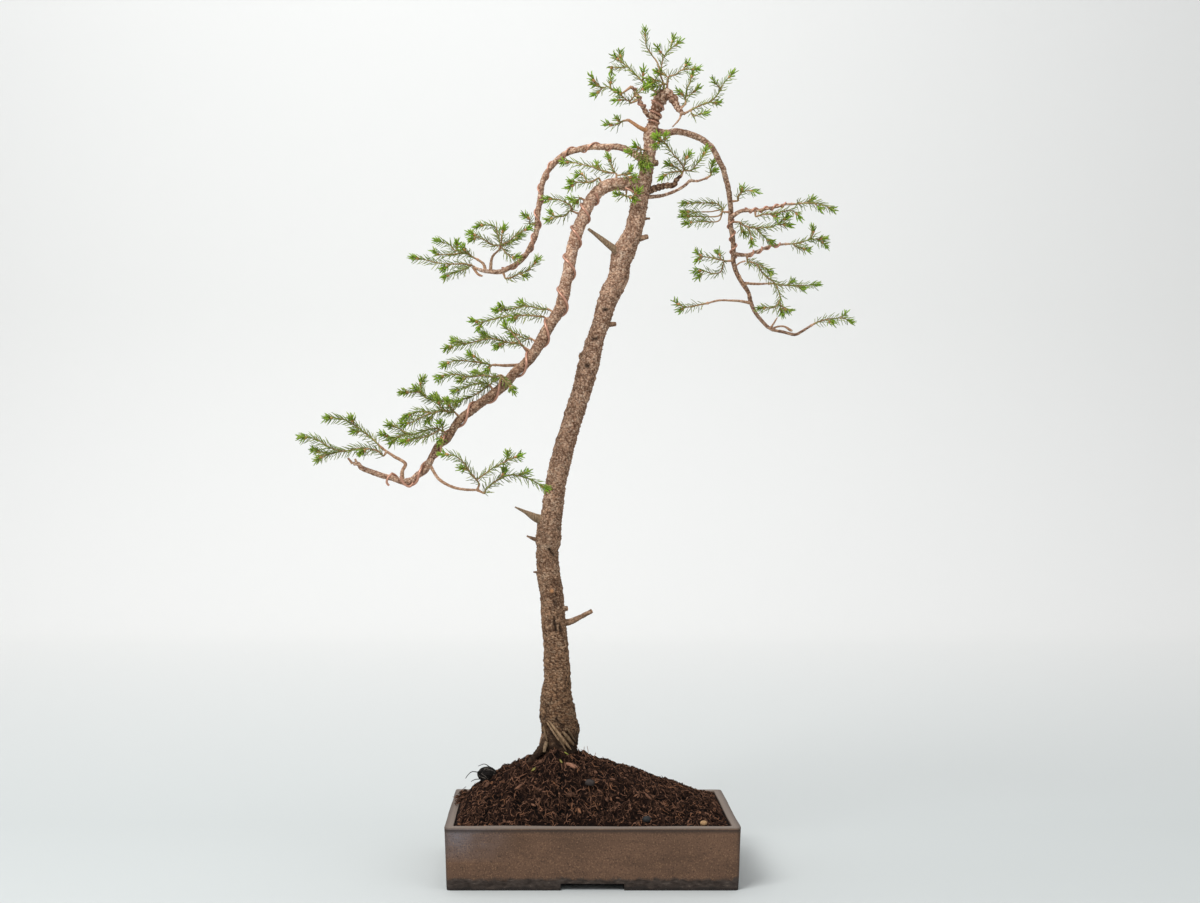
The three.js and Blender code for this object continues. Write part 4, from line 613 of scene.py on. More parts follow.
# Meshes
class Heap:
    """Points and faces gathered before they become one mesh, with what the material reads"""

    def __init__(self, *names):
        self.points, self.faces, self.slots, self.count = [], [], [], 0
        self.values = {name: [] for name in names}

    def add(self, points, faces, slot=0, **values):
        """Adds points (n, 3) in millimetres, lists of faces, and one value for each point"""
        points = np.asarray(points, float).reshape(-1, 3)
        for block in faces:
            shifted = np.asarray(block) + self.count
            self.faces.extend(shifted.tolist())
            self.slots.extend([slot] * len(shifted))
        for name, gathered in self.values.items():
            value = np.asarray(values.get(name, 0.0), float)
            gathered.append(np.broadcast_to(value.reshape(-1) if value.ndim else value, len(points)))
        self.points.append(points)
        self.count += len(points)

    def add_tube(self, points, radii, sides, slot=0, **values):
        """Adds a closed tube whose values are the same all over"""
        self.add(*tube(points, radii, sides), slot, **values)

    def build(self, name, materials):
        """One object at the origin, with its place in its mesh"""
        mesh = bpy.data.meshes.new(name)
        mesh.from_pydata((np.concatenate(self.points) * MM).tolist(), [], self.faces)
        for value_name, gathered in self.values.items():
            attribute = mesh.attributes.new(value_name, "FLOAT", "POINT")
            attribute.data.foreach_set("value", np.concatenate(gathered).astype(np.float32))
        for material in materials:
            mesh.materials.append(material)
        mesh.polygons.foreach_set("material_index", self.slots)
        mesh.polygons.foreach_set("use_smooth", [True] * len(self.faces))
        mesh.update()
        piece = bpy.data.objects.new(name, mesh)
        bpy.context.scene.collection.objects.link(piece)
        return piece


def settle(piece, slot, *nodes):
    """Lets a piece ride on the pot's body in place of its CAD nodes. The slot, the name of its finish,
    is not used.
    """
    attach(piece, "root")
    if nodes:
        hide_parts(*nodes)


def nothing_selected():
    """Leaves no object selected, and object mode on"""
    if bpy.context.mode != "OBJECT":
        bpy.ops.object.mode_set(mode="OBJECT")
    bpy.ops.object.select_all(action="DESELECT")


def only(piece):
    """Makes a piece the one selected and active object"""
    nothing_selected()
    piece.select_set(True)
    bpy.context.view_layer.objects.active = piece


def fresh_primitive(make, name, **settings):
    """A new primitive with nothing else selected"""
    nothing_selected()
    make(**settings)
    piece = bpy.context.view_layer.objects.active
    piece.name = name
    return piece


def apply_modifier(piece, kind, **settings):
    """Adds a modifier to a piece and applies it"""
    only(piece)
    modifier = piece.modifiers.new(kind.lower(), kind)
    for name, value in settings.items():
        setattr(modifier, name, value)
    bpy.ops.object.modifier_apply(modifier=modifier.name)


# Noise in space, for every rough surface: the grains of its table along each side, and
# how far apart the noise of two pieces is read
GRAINS = 48
APART = 61.7
TABLE = np.random.default_rng(SEEDS["noise"]).random((GRAINS, GRAINS, GRAINS, 4))


def soft_noise(points, size):
    """Smooth noise from -1 to 1, its features about size millimetres"""
    p = np.asarray(points) / size
    base = np.floor(p).astype(int)
    part = p - base
    part = part * part * (3 - 2 * part)
    total = 0
    for corner in itertools.product((0, 1), repeat=3):
        grain = TABLE[tuple(np.moveaxis((base + corner) % GRAINS, -1, 0))]
        total = total + np.prod(np.where(corner, part, 1 - part), axis=-1) * grain[..., 3]
    return 2 * total - 1


def flakes(points, size):
    """Cells of about that size: how far a place is from a crack, and its cell's own value"""
    p = np.asarray(points) / size
    base = np.floor(p).astype(int)
    first = np.full(p.shape[:-1], 9.0)
    second = first.copy()
    own = np.zeros_like(first)
    for step in itertools.product((-1, 0, 1), repeat=3):
        grain = TABLE[tuple(np.moveaxis((base + step) % GRAINS, -1, 0))]
        away = np.linalg.norm(base + step + grain[..., :3] - p, axis=-1)
        nearer = away < first
        second = np.where(nearer, first, np.minimum(second, away))
        own = np.where(nearer, grain[..., 3], own)
        first = np.where(nearer, away, first)
    return second - first, own


# Lines of the tree
def in_space(across, up, back):
    """A point on the trunk's plane, pushed back along its line of sight"""
    reach = (EYE["distance"] + back) / EYE["distance"]
    x = EYE["across"] + (across - EYE["across"]) * reach
    z = EYE["up"] + (up - EYE["up"]) * reach
    return np.array([x, back, z])


def as_seen(points):
    """Where points appear on the trunk's plane, across and up"""
    reach = EYE["distance"] / (EYE["distance"] + points[..., 1])
    return (EYE["across"] + (points[..., 0] - EYE["across"]) * reach,
            EYE["up"] + (points[..., 2] - EYE["up"]) * reach)


def unit(vectors):
    """Vectors brought to length 1"""
    return vectors / np.linalg.norm(vectors, axis=-1, keepdims=True).clip(1e-9)


class Line:
    """A smooth line through points, with its radius along it"""

    def __init__(self, points, radii):
        self.points = np.array(points, float)
        self.radii = list(radii)

    def at(self, t):
        """Points of a centripetal Catmull-Rom curve, t from 0 to 1 over the points"""
        p = self.points
        last = len(p) - 1
        place = np.clip(np.asarray(t, float), 0, 1) * last
        i = np.minimum(place.astype(int), last - 1)
        w = (place - i)[..., None]
        long = np.vstack([2 * p[0] - p[1], p, 2 * p[-1] - p[-2]])
        p0, p1, p2, p3 = long[i], long[i + 1], long[i + 2], long[i + 3]
        d0, d1, d2 = (np.sqrt(np.linalg.norm(b - a, axis=-1, keepdims=True)).clip(1e-3)
                      for a, b in ((p0, p1), (p1, p2), (p2, p3)))
        t1 = ((p1 - p0) / d0 - (p2 - p0) / (d0 + d1) + (p2 - p1) / d1) * d1
        t2 = ((p2 - p1) / d1 - (p3 - p1) / (d1 + d2) + (p3 - p2) / d2) * d1
        c2 = 3 * (p2 - p1) - 2 * t1 - t2
        c3 = 2 * (p1 - p2) + t1 + t2
        return p1 + t1 * w + c2 * w ** 2 + c3 * w ** 3

    def radius(self, t):
        """The radius at t, straight between those given"""
        return np.interp(t, np.linspace(0, 1, len(self.radii)), self.radii)

    def evenly(self, spacing):
        """Places along the line about that far apart, and the length up to each"""
        fine = np.linspace(0, 1, 600)
        steps = np.linalg.norm(np.diff(self.at(fine), axis=0), axis=1)
        run = np.concatenate([[0], np.cumsum(steps)])
        count = max(2, int(round(run[-1] / spacing)) + 1)
        lengths = np.linspace(0, run[-1], count)
        return np.interp(lengths, run, fine), lengths

    def nearest(self, across, up):
        """The place on the line that lies behind or in front of a point of the plane"""
        t = np.linspace(0, 1, 40 * len(self.points) + 1)
        points = self.at(t)
        seen_x, seen_z = as_seen(points)
        gap = np.hypot(seen_x - across, seen_z - up)
        best = int(np.argmin(gap))
        return gap[best], points[best], t[best]


def rings_along(points):
    """Tangents, normals and sides of rings along points, carried on without twist"""
    tangents = unit(np.gradient(points, axis=0))
    normal = np.array([0.0, -1.0, 0.0])
    if abs(normal @ tangents[0]) > 0.8:
        normal = np.array([1.0, 0.0, 0.0])
    normals = []
    for tangent in tangents:
        normal = unit(normal - tangent * (tangent @ normal))
        normals.append(normal)
    normals = np.array(normals)
    return tangents, normals, np.cross(normals, tangents)


def turned(angle, first, second):
    """Directions at an angle from the first to the second, which is square to it"""
    return np.cos(angle)[..., None] * first + np.sin(angle)[..., None] * second


def between(place, places, rows):
    """Rows of three values, read at a place between those that are given"""
    return np.stack([np.interp(place, places, rows[:, k]) for k in range(3)], -1)


def round_angles(count):
    """Angles evenly round a circle"""
    return np.arange(count) / count * 2 * math.pi


def outwards(points, sides):
    """Directions from each ring's middle to its points"""
    _, normals, across = rings_along(points)
    return turned(round_angles(sides), normals[:, None], across[:, None])


def tube(points, radii, sides):
    """Rings round points, closed at both ends by a low cap. radii is (rings,) or (rings, sides)"""
    points = np.asarray(points, float)
    tangents = unit(np.gradient(points, axis=0))
    radii = np.asarray(radii, float)
    if radii.ndim == 1:
        radii = np.repeat(radii[:, None], sides, axis=1)
    body = points[:, None] + outwards(points, sides) * radii[..., None]
    low = points[0] - tangents[0] * radii[0].mean() * 0.3
    high = points[-1] + tangents[-1] * radii[-1].mean() * 0.3
    rings = len(points)
    j = np.arange(sides)
    k = np.arange(rings - 1)[:, None] * sides
    after = (j + 1) % sides
    quads = np.stack([k + j, k + sides + j, k + sides + after, k + after], -1).reshape(-1, 4)
    first, last = rings * sides, rings * sides + 1
    top = (rings - 1) * sides
    low_cap = np.stack([np.full(sides, first), j, after], -1)
    high_cap = np.stack([np.full(sides, last), top + after, top + j], -1)
    verts = np.vstack([body.reshape(-1, 3), low, high])
    return verts, [quads, low_cap, high_cap]


def with_caps(values, high=None):
    """Values of a tube's rings as one list, with those of its two end points"""
    values = np.asarray(values, float)
    ends = [values[0].mean(), values[-1].mean() if high is None else high]
    return np.concatenate([values.reshape(-1), ends])


def limb_line(rows):
    """A line through rows of across, up, back and radius"""
    return Line([in_space(a, u, b) for a, u, b, _ in rows], [row[3] for row in rows])


def route_from(depth, swing, points):
    """Points whose depth runs from the root's to the tip's, unless a point has its own"""
    last = len(points) - 1
    route = []
    for k, (across, up, *push) in enumerate(points):
        back = push[0] if push else swing * math.sin(k / last * math.pi / 2)
        route.append(in_space(across, up, depth + back))
    return route


def grow():
    """The tree's skeleton: its limbs and twigs, the pegs and the shoots of its sprays"""
    limbs = {
        "trunk": limb_line(TRUNK), "main_left": limb_line(MAIN_LEFT),
        "upper_left": limb_line(UPPER_LEFT), "right": limb_line(RIGHT),
        "apex_left": limb_line(APEX_LEFT), "hub": limb_line(HUB), "hub_low": limb_line(HUB_LOW),
        "right_upper": limb_line(RIGHT_UPPER), "right_lower": limb_line(RIGHT_LOWER),
    }
    for name, (parent, swing, radii, points) in TWIGS.items():
        depth = limbs[parent].nearest(*points[0])[1][1]
        limbs[name] = Line(route_from(depth, swing, points), radii)
    pegs, shoots = [], []
    for name, (on, bare, dense, *stems) in SPRAYS.items():
        limb = limbs[on]
        swing, *points = stems[0]
        _, root, t = limb.nearest(*points[0][:2])
        route = route_from(root[1], swing, points)
        shortest = limb.radius(t) + PEG["length"]
        out = route[0] - root
        if np.linalg.norm(out) < shortest:
            if np.linalg.norm(out) < 0.4:
                out = route[1] - root
            out = unit(out) * shortest
            route[0] = root + out
        pegs.append((root, route[0] + unit(out) * 0.5))
        route.insert(1, route[0] + unit(out) * PEG["straight"])
        carriers = [Line(route, [SHOOT["root"], SHOOT["tip"]])]
        shoots.append([name, carriers[0], bare, dense])
        for side_swing, *side_points in stems[1:]:
            near = min((c.nearest(*side_points[0][:2]) for c in carriers), key=lambda n: n[0])
            side_route = route_from(near[1][1], side_swing, side_points)
            side_route[0] = near[1]
            carriers.append(Line(side_route, [SHOOT["side_root"], SHOOT["tip"]]))
            shoots.append([name, carriers[-1], SIDE_BARE.get(name, SHOOT["bare"]), dense])
    return limbs, pegs, shoots


LIMBS, PEGS, SHOOTS = grow()


# Materials
def add(tree, kind, inputs=None, out=0, **settings):
    """Adds a shader node with its settings, sets or links its inputs, and gives an output"""
    node = tree.nodes.new(f"ShaderNode{kind}")
    for name, value in settings.items():
        setattr(node, name, value)
    for name, value in (inputs or {}).items():
        socket = node.inputs[name]
        if isinstance(value, bpy.types.NodeSocket):
            tree.links.new(value, socket)
        else:
            socket.default_value = (*value[:3], 1) if socket.type == "RGBA" else value
    return node.outputs[out] if node.outputs else node


def darker(colour, share):
    """A colour brought down or up by a share"""
    return [min(1, c * share) for c in colour[:3]]


def surface(name, roughness, patterns, carried=(), metallic=0.0, ior=1.45, shine=0.5):
    """A new material with its tree, its shader and the object's coordinates, then its
    patterns and the values that the mesh carries for it. A pattern is noise: the size of
    its features in millimetres, its detail, its roughness and its stretch along each axis."""
    material = bpy.data.materials.new(name)
    material.use_nodes = True
    tree = material.node_tree
    tree.nodes.clear()
    shader = add(tree, "BsdfPrincipled", {"Roughness": roughness, "Metallic": metallic,
                                          "IOR": ior, "Specular IOR Level": shine})
    add(tree, "OutputMaterial", {"Surface": shader})
    where = add(tree, "TexCoord", out="Object")
    values = []
    for size, detail, rough, *stretch in patterns:
        place = add(tree, "Mapping", {"Vector": where, "Scale": stretch}) if stretch else where
        values.append(add(tree, "TexNoise", {"Vector": place, "Scale": 1 / (size * MM),
                                             "Detail": detail, "Roughness": rough}, "Fac"))
    values += [add(tree, "Attribute", out="Fac", attribute_name=value) for value in carried]
    return material, tree, shader.node, where, values


def together(tree, *ranges):
    """Values brought from one range to another, held at its ends, and multiplied"""
    parts = [add(tree, "MapRange", {"Value": value, "From Min": low, "From Max": high,
                                    "To Min": to_low, "To Max": to_high})
             for value, low, high, to_low, to_high in ranges]
    return functools.reduce(
        lambda a, b: add(tree, "Math", {0: a, 1: b}, operation="MULTIPLY"), parts)


def painted(tree, body, *layers):
    """A colour under layers, each a value, where that shows none and all of the layer, the
    layer's strength and its colour, or only a value from 0 to 1 and the colour"""
    for value, *limits, colour in layers:
        if limits:
            none, full, strength = limits
            value = together(tree, (value, none, full, 0, strength))
        body = add(tree, "Mix", {0: value, 6: body, 7: colour}, 2, data_type="RGBA")
    return body


def finish(tree, shader, colour, height, strength, distance):
    """Colour and bump on a shader, distance in millimetres"""
    bump = add(tree, "Bump", {"Height": height, "Strength": strength, "Distance": distance * MM})
    tree.links.new(colour, shader.inputs["Base Color"])
    tree.links.new(bump, shader.inputs["Normal"])


@functools.cache
def bark_material():
    """Spruce bark: dry flakes over cracks that are dark with their own wood and with painted shade,
    dull, with pale lifted edges, pinker when young
    """
    colours = bpy.context.scene.bonsai_bark
    material, tree, shader, _, values = surface(
        "spruce_bark", 0.9, [
            (1.8, 3, 0.7, 0.75, 0.75, 1.8), (8, 3, 0.6, 0.6, 0.6, 2.4), (11, 3, 0.6, 1, 1, 1.6),
            (1.2, 4, 0.6, 1, 1, 0.12)],
        ["young", "plate", "crack", "dead", "cut", "damp"], shine=0.2)
    speckle, veins, patches, grain, young, plate, crack, dead, cut, damp = values
    off_vein = add(tree, "Math", {0: veins, 1: 0.5}, operation="SUBTRACT")
    off_vein = add(tree, "Math", {0: off_vein}, operation="ABSOLUTE")
    dark = painted(tree, colours.crack, (young, colours.young_crack))
    light = painted(tree, colours.fleck, (young, colours.young_fleck))
    bare = painted(tree, darker(colours.deadwood, 0.4), (grain, 0.4, 0.62, 1, colours.deadwood))
    fresh_cut = painted(tree, darker(colours.cut, 0.7), (speckle, 0.35, 0.7, 1, colours.cut))
    # The cracks are darker, partly with their own wood and partly with painted shade
    body = painted(
        tree, colours.plate, (young, colours.young), (plate, 0.15, 1, 0.6, dark),
        (patches, 0.48, 0.68, 0.5, dark), (patches, 0.46, 0.3, 0.35, light),
        (speckle, 0.52, 0.68, 0.7, light), (speckle, 0.46, 0.33, 0.6, dark),
        (off_vein, 0.022, 0.004, 0.8, dark), (crack, 0.2, 0.02, 0.9, dark), (dead, bare),
        # Last, painted shade in the grooves of the marks and the darkening towards the foot
        (cut, fresh_cut), (damp, linear("#1d130e")))
    height = add(tree, "Math", {0: speckle, 1: 0.8, 2: patches}, operation="MULTIPLY_ADD")
    finish(tree, shader, body, height, 0.8, 1)
    return material


def shoot_material():
    """Shoots of a spruce: thin tan bark, greener to the tip, with small pegs"""
    colours = bpy.context.scene.bonsai_needles
    material, tree, shader, _, (fine, fresh) = surface(
        "spruce_shoot", 0.7, [(1.5, 3, 0.55)], ["fresh"])
    body = painted(tree, colours.shoot, (fresh, colours.middle),
                   (fine, 0.4, 0.7, 0.5, darker(colours.shoot, 0.5)))
    finish(tree, shader, body, fine, 0.5, 0.4)
    return material


def bud_material():
    """Bud scales: papery, orange brown"""
    colours = bpy.context.scene.bonsai_needles
    material, tree, shader, _, (fine,) = surface("bud_scales", 0.6, [(1, 2, 0.55)])
    body = painted(tree, darker(colours.bud, 0.65), (fine, 0.35, 0.65, 1, colours.bud))
    finish(tree, shader, body, fine, 0.4, 0.3)
    return material


def needle_material():
    """Spruce needles: waxy, a little glossy, yellow green when fresh and duller with age"""
    colours = bpy.context.scene.bonsai_needles
    material, tree, shader, _, (waxy, fresh, tone) = surface(
        "spruce_needles", 0.5, [(3, 2, 0.55)], ["fresh", "tone"], shine=0.15)
    body = painted(
        tree, colours.older, (fresh, 0, 0.5, 1, colours.middle), (fresh, 0.5, 1, 1, colours.fresh),
        (tone, 0.35, 0, 0.75, linear("#4c5a22")), (tone, 0.72, 0.95, 0.6, linear("#aeb362")),
        (waxy, 0.5, 0.75, 0.25, linear("#9aa05c")))
    finish(tree, shader, body, waxy, 0.1, 0.1)
    return material


@functools.cache
def copper_material():
    """Annealed copper wire: soft pinkish brown, dulled by a thin oxide"""
    colours = bpy.context.scene.bonsai_ground
    material, tree, shader, _, (tarnish,) = surface(
        "annealed_copper", 0.4, [(6, 4, 0.55)], (), 0.55, 1.5)
    body = painted(tree, colours.copper, (tarnish, 0.45, 0.7, 0.7, darker(colours.copper, 0.55)))
    tree.links.new(together(tree, (tarnish, 0.3, 0.7, 0.3, 0.52)), shader.inputs["Roughness"])
    finish(tree, shader, body, tarnish, 0.15, 0.2)
    return material


def peat_material(name, low, high):
    """Peat and shredded bark: dark, wet, reddish, with no gloss, and with painted shade that makes it
    black in its hollows
    """
    material, tree, shader, _, (grains, tone) = surface(
        name, 0.95, [(2.6, 4, 0.75)], ["tone"], shine=0.1)
    # The low places of the noise, which are the hollows of its bump, are painted dark as shade
    body = painted(tree, low, (tone, high), (grains, 0.52, 0.36, 0.85, darker(low, 0.25)),
                   (tone, 0.93, 1, 0.8, linear("#8d6042")))
    finish(tree, shader, body, grains, 0.9, 1.4)
    return material


def stoneware_material():
    """Unglazed brown stoneware: sanded clay with a fine light and rusty speckle, dark base.
    Grit of half a millimetre wouldn't show, so it is drawn three times as coarse."""
    colours = bpy.context.scene.bonsai_ground
    material, tree, shader, where, (clouds, streaks, grit, edge, worn) = surface(
        "unglazed_stoneware", 0.75, [
            (40, 4, 0.6, 1, 1, 2), (9, 4, 0.7, 0.25, 0.25, 2.2), (1.5, 3, 0.65), (12, 3, 0.55),
            (7, 4, 0.7, 1, 1, 2.5)], (), 0, 1.5, 0.3)
    x, height = (add(tree, "SeparateXYZ", {0: where}, axis) for axis in (0, 2))

    # A grey patch at the left of the front, and painted shade under the rim and on the short sides
    grey_patch = together(tree, (x, -0.125, -0.07, 1, 0), (height, 0.026, 0.05, 0, 1),
                     (clouds, 0.4, 0.6, 0.3, 0.8))
    under = together(tree, (height, 0.0535, 0.0565, 0, 0.8), (height, 0.0582, 0.0572, 0, 1))
    beside = add(tree, "Math", {0: x}, operation="ABSOLUTE")
    beside = together(tree, (beside, 0.1355, 0.1395, 0, 0.5))

    # The dark foot band behind an uneven line, and a thin dark line of painted shade where the pot
    # stands
    waver = together(tree, (edge, 0.3, 0.7, -0.002, 0.002))
    line = add(tree, "Math", {0: height, 1: waver}, operation="ADD")
    foot = painted(tree, linear("#15110f"), (worn, 0.35, 0.65, 1, colours.base),
                   (worn, 0.64, 0.76, 1, linear("#6f6359")))
    # The rim's top edge is lighter, partly a greyer haze and partly a painted highlight
    body = painted(
        tree, darker(colours.stoneware, 0.85),
        (clouds, 0.35, 0.68, 1, darker(colours.stoneware, 1.2)),
        (streaks, 0.52, 0.68, 0.4, darker(colours.stoneware, 0.7)), (grey_patch, linear("#6d6a6f")),
        (grit, 0.57, 0.68, 0.5, linear("#9a7758")), (grit, 0.43, 0.32, 0.7, linear("#2f231d")),
        (line, 0.0125, 0.0095, 0.9, foot), (line, 0.0035, 0.0015, 0.7, linear("#1c1816")),
        (height, 0.0578, 0.0592, 1, colours.rim_haze_and_highlight), (under, linear("#2b2420")),
        (beside, linear("#332b27")))
    relief = add(tree, "Math", {0: streaks, 1: 0.8, 2: grit}, operation="MULTIPLY_ADD")
    finish(tree, shader, body, relief, 0.6, 0.6)
    return material


def plain_material(name, colour, roughness, grain, depth=0.4):
    """A dull material of one colour, mottled by the noise of its bump, with painted shade in its
    hollows
    """
    material, tree, shader, _, (fine,) = surface(name, roughness, [(grain, 4, 0.65)], shine=0.25)
    body = painted(tree, darker(colour, 0.55), (fine, 0.3, 0.7, 1, darker(colour, 1.25)))
    finish(tree, shader, body, fine, 0.6, depth)
    return material


# Wood
def marked(points, marks):
    """How far marks raise the skin at points, and the painted shade that those which go in lay in their
    grooves
    """
    x, z = as_seen(points)
    lift, shade = np.zeros(x.shape), np.zeros(x.shape)
    for x0, z0, x1, z1, width, raised in marks:
        run = np.array([x1 - x0, z1 - z0], float)
        share = ((x - x0) * run[0] + (z - z0) * run[1]) / max(run @ run, 1e-6)
        share = np.clip(share, 0, 1)
        away = np.hypot(x - x0 - share * run[0], z - z0 - share * run[1]) / width
        strength = np.exp(-away ** 2) * (points[..., 1] < 0)
        lift += raised * strength
        if raised < 0:
            shade = np.maximum(shade, strength * min(1, -raised / 1.6))
    return lift, shade


def barked(heap, line, sides, ring, seed, young=0.0, relief=1.0, collar=0.0, lumps=0.05,
           dead=0.0, bare=0.0, cut_end=False, marks=(), darker_below=None, bends=(), wrinkles=0.5):
    """A limb in its bark: flakes, lumps and wrinkles raised from its own skin. How young it
    is can be one value, or heights with their values, which are partly painted light that makes the
    bark lighter higher up."""
    settings = bpy.context.scene.bonsai_bark
    places, lengths = line.evenly(ring)
    points, base = line.at(places), line.radius(places)
    angle = round_angles(sides)
    straight = np.stack([base[:, None] * np.cos(angle), base[:, None] * np.sin(angle),
                         np.repeat(lengths[:, None], sides, axis=1)], -1) + APART * seed
    crack, own = flakes(straight * (1, 1, 1.4), settings.flake / MM)
    large = soft_noise(straight, BARK["lumps"])
    folds = soft_noise(straight * (0.15, 0.15, 1), BARK["folds"])
    fine = soft_noise(straight, BARK["fine"])
    depth = settings.relief / MM * relief * np.clip(base / BARK["full"], 0.3, 1)[:, None]
    folded = np.zeros(len(places))
    for start, end in bends:
        folded = np.maximum(folded, 1.4 * ((places > start) & (places < end)))
    folded = folded[:, None]
    waves = np.sin(straight[..., 2] * 2 * math.pi / BARK["waves"] + 3 * soft_noise(straight, 9))
    folds = folds * (wrinkles + 0.3 * folded) + 0.9 * folded * waves
    shape = depth * (np.minimum(crack, 0.4) / 0.4 - 0.8 + 0.8 * (own - 0.5) + 0.4 * fine)
    shape += depth * folds
    grown = base[:, None] * (1 + lumps * large) + collar * np.exp(-lengths / 9)[:, None]
    skin = points[:, None] + outwards(points, sides) * base[:, None, None]
    lift, shade = marked(skin, marks)
    radii = np.maximum(grown + shape * (1 - dead) + lift, 0.35)
    points_out, faces = tube(points, radii, sides)
    # Painted shade in the grooves of the marks, and below a given height a darkening towards the foot,
    # with a fainter one higher up
    damp = shade
    if darker_below is not None:
        height = points[:, 2][:, None] + 5 * large + 3 * folds
        low = np.clip((darker_below - height) / BARK["damp"], 0, 1) * 0.8
        faint_darkening = np.clip((darker_below + 70 - height) / BARK["fading"], 0, 1)
        damp = np.maximum(damp, low + 0.22 * faint_darkening)
        damp = np.minimum(damp, 0.85)
    youth_and_light = np.interp(points[:, 2], *young)[:, None] if np.ndim(young) else young
    flat = np.zeros(radii.shape)
    # Deep hollows of the folds count as cracks, so they take the cracks' dark colour as painted shade
    heap.add(points_out, faces, crack=with_caps(crack - 0.25 * (folds < -0.45)),
             plate=with_caps(own), young=with_caps(flat + youth_and_light), dead=with_caps(flat + dead),
             cut=with_caps(flat + bare, 1.0 if cut_end else None), damp=with_caps(damp))


def bark_heap():
    """A heap with the values that the bark reads"""
    return Heap("crack", "plate", "young", "dead", "cut", "damp")


class BONSAI_OT_trunk(bpy.types.Operator):
    """Makes the trunk with its flaky bark, its roots and the strips that peel at its foot"""
    bl_idname = "bonsai.trunk"
    bl_label = "Trunk"

    def execute(self, context):
        heap = bark_heap()
        barked(heap, LIMBS["trunk"], 92, 1.15, SEEDS["trunk"], LIMB_AGES_AND_LIGHT["trunk"], lumps=0.035,
               marks=MARKS, darker_below=140, bends=[(0.83, 1.0)])
        for number, rows in enumerate(ROOTS):
            pale = 0.75 if number == PALE_ROOT else 0.0
            barked(heap, limb_line(rows), 26, 1.1, SEEDS["roots"] + number, 0.0, relief=1.3, lumps=0.14,
                   dead=pale, darker_below=138 - 60 * pale)
        for number, strip in enumerate(PEELING):
            self.strip(heap, number, *strip)
        settle(heap.build("trunk", [bark_material()]), "bark", "wood")
        return {"FINISHED"}

    def strip(self, heap, number, head, foot, width, off, shade):
        """A flat strip of bare wood that lies on the trunk and stands off at its low end"""
        rng = np.random.default_rng(SEEDS["peeling"] + number)
        count, sides = 30, 12
        steps = np.linspace(0, 1, count)
        across = np.interp(steps, [0, 1], [head[0], foot[0]])
        up = np.interp(steps, [0, 1], [head[1], foot[1]])
        rows = np.array(TRUNK[:TRUNK_FOOT])
        axis = np.interp(up, rows[:, 1], rows[:, 0])
        radius = np.interp(up, rows[:, 1], rows[:, 3])
        bow = np.sqrt(np.maximum(radius ** 2 - (across - axis) ** 2, 1))
        back = -bow - 0.3 - off * steps ** 2 + 0.3 * rng.standard_normal(count).cumsum() * 0.2
        points = np.stack([in_space(a, u, b) for a, u, b in zip(across, up, back)])
        angle = round_angles(sides)
        taper = np.sin(np.clip(steps * 0.98 + 0.02, 0, 1) * math.pi) ** 0.35
        oval = 1 / np.hypot(np.cos(angle) / 0.9, np.sin(angle) / (width / 2))
        ridges = 1 + 0.22 * rng.standard_normal(sides)
        radii = taper[:, None] * oval * ridges * (1 + 0.06 * rng.standard_normal((count, sides)))
        heap.add_tube(points, radii.clip(0.25), sides, dead=1.0, crack=0.5, plate=0.3, cut=0.15,
                      damp=shade)


class BONSAI_OT_limbs(bpy.types.Operator):
    """Makes the wired limbs, which arch out of the trunk and hang"""
    bl_idname = "bonsai.limbs"
    bl_label = "Limbs"

    def execute(self, context):
        heap = bark_heap()
        for number, (name, (sides, ring, bends)) in enumerate(LIMB_MESHES.items()):
            youth_and_light = LIMB_AGES_AND_LIGHT.get(name, 0.95)
            barked(heap, LIMBS[name], sides, ring, SEEDS["limbs"] + number, youth_and_light, relief=0.85,
                   collar=1.2 if name == "main_left" else 0.8, lumps=0.08,
                   bends=bends, wrinkles=0.25)
        settle(heap.build("limbs", [bark_material()]), "bark", "wood")
        return {"FINISHED"}


class BONSAI_OT_twigs(bpy.types.Operator):
    """Makes the cut stubs, the deadwood, the bare twigs and the pegs of the sprays"""
    bl_idname = "bonsai.twigs"
    bl_label = "Twigs and stubs"

    def execute(self, context):
        heap = bark_heap()
        for number, rows in enumerate(STUBS):
            barked(heap, limb_line(rows), 20, 0.8, SEEDS["stubs"] + number, 0.25, relief=1.1,
                   collar=1.0, lumps=0.14, dead=0.8 if number in DEADWOOD else 0.1,
                   cut_end=number in CUT)
        for number, rows in enumerate(SPURS):
            barked(heap, limb_line(rows), 10, 0.7, SEEDS["spurs"] + number, 1.0, relief=0.6,
                   lumps=0.2, dead=0.3, bare=0.3)
        for number, name in enumerate(TWIGS):
            barked(heap, LIMBS[name], 14, 0.75, SEEDS["twigs"] + number, 1.0, relief=0.9,
                   collar=0.5, lumps=0.2, dead=0.3, bare=0.7 if name == "inner_stub" else 0.2)
        for root, tip in PEGS:
            steps = np.linspace(0, 1, len(PEG["radii"]))[:, None]
            heap.add_tube(root + (tip - root) * steps, PEG["radii"], 8, young=1.0, crack=0.3,
                          plate=0.3, dead=0.3, cut=0.35)
        settle(heap.build("twigs", [bark_material()]), "bark", "wood")
        return {"FINISHED"}


# Needles: the points of one, and the turn from each to the next round a shoot. Then for
# a dense and an open shoot: how far apart they are beside the usual, the count in the
# tuft and how fresh they are. Last, the share of shoots with a bud.
BLADE = 13
NEXT_TURN = math.radians(137.5)
DENSE, OPEN = (0.85, 20, 0.85), (1.05, 18, 1)
BUDDED = 0.85


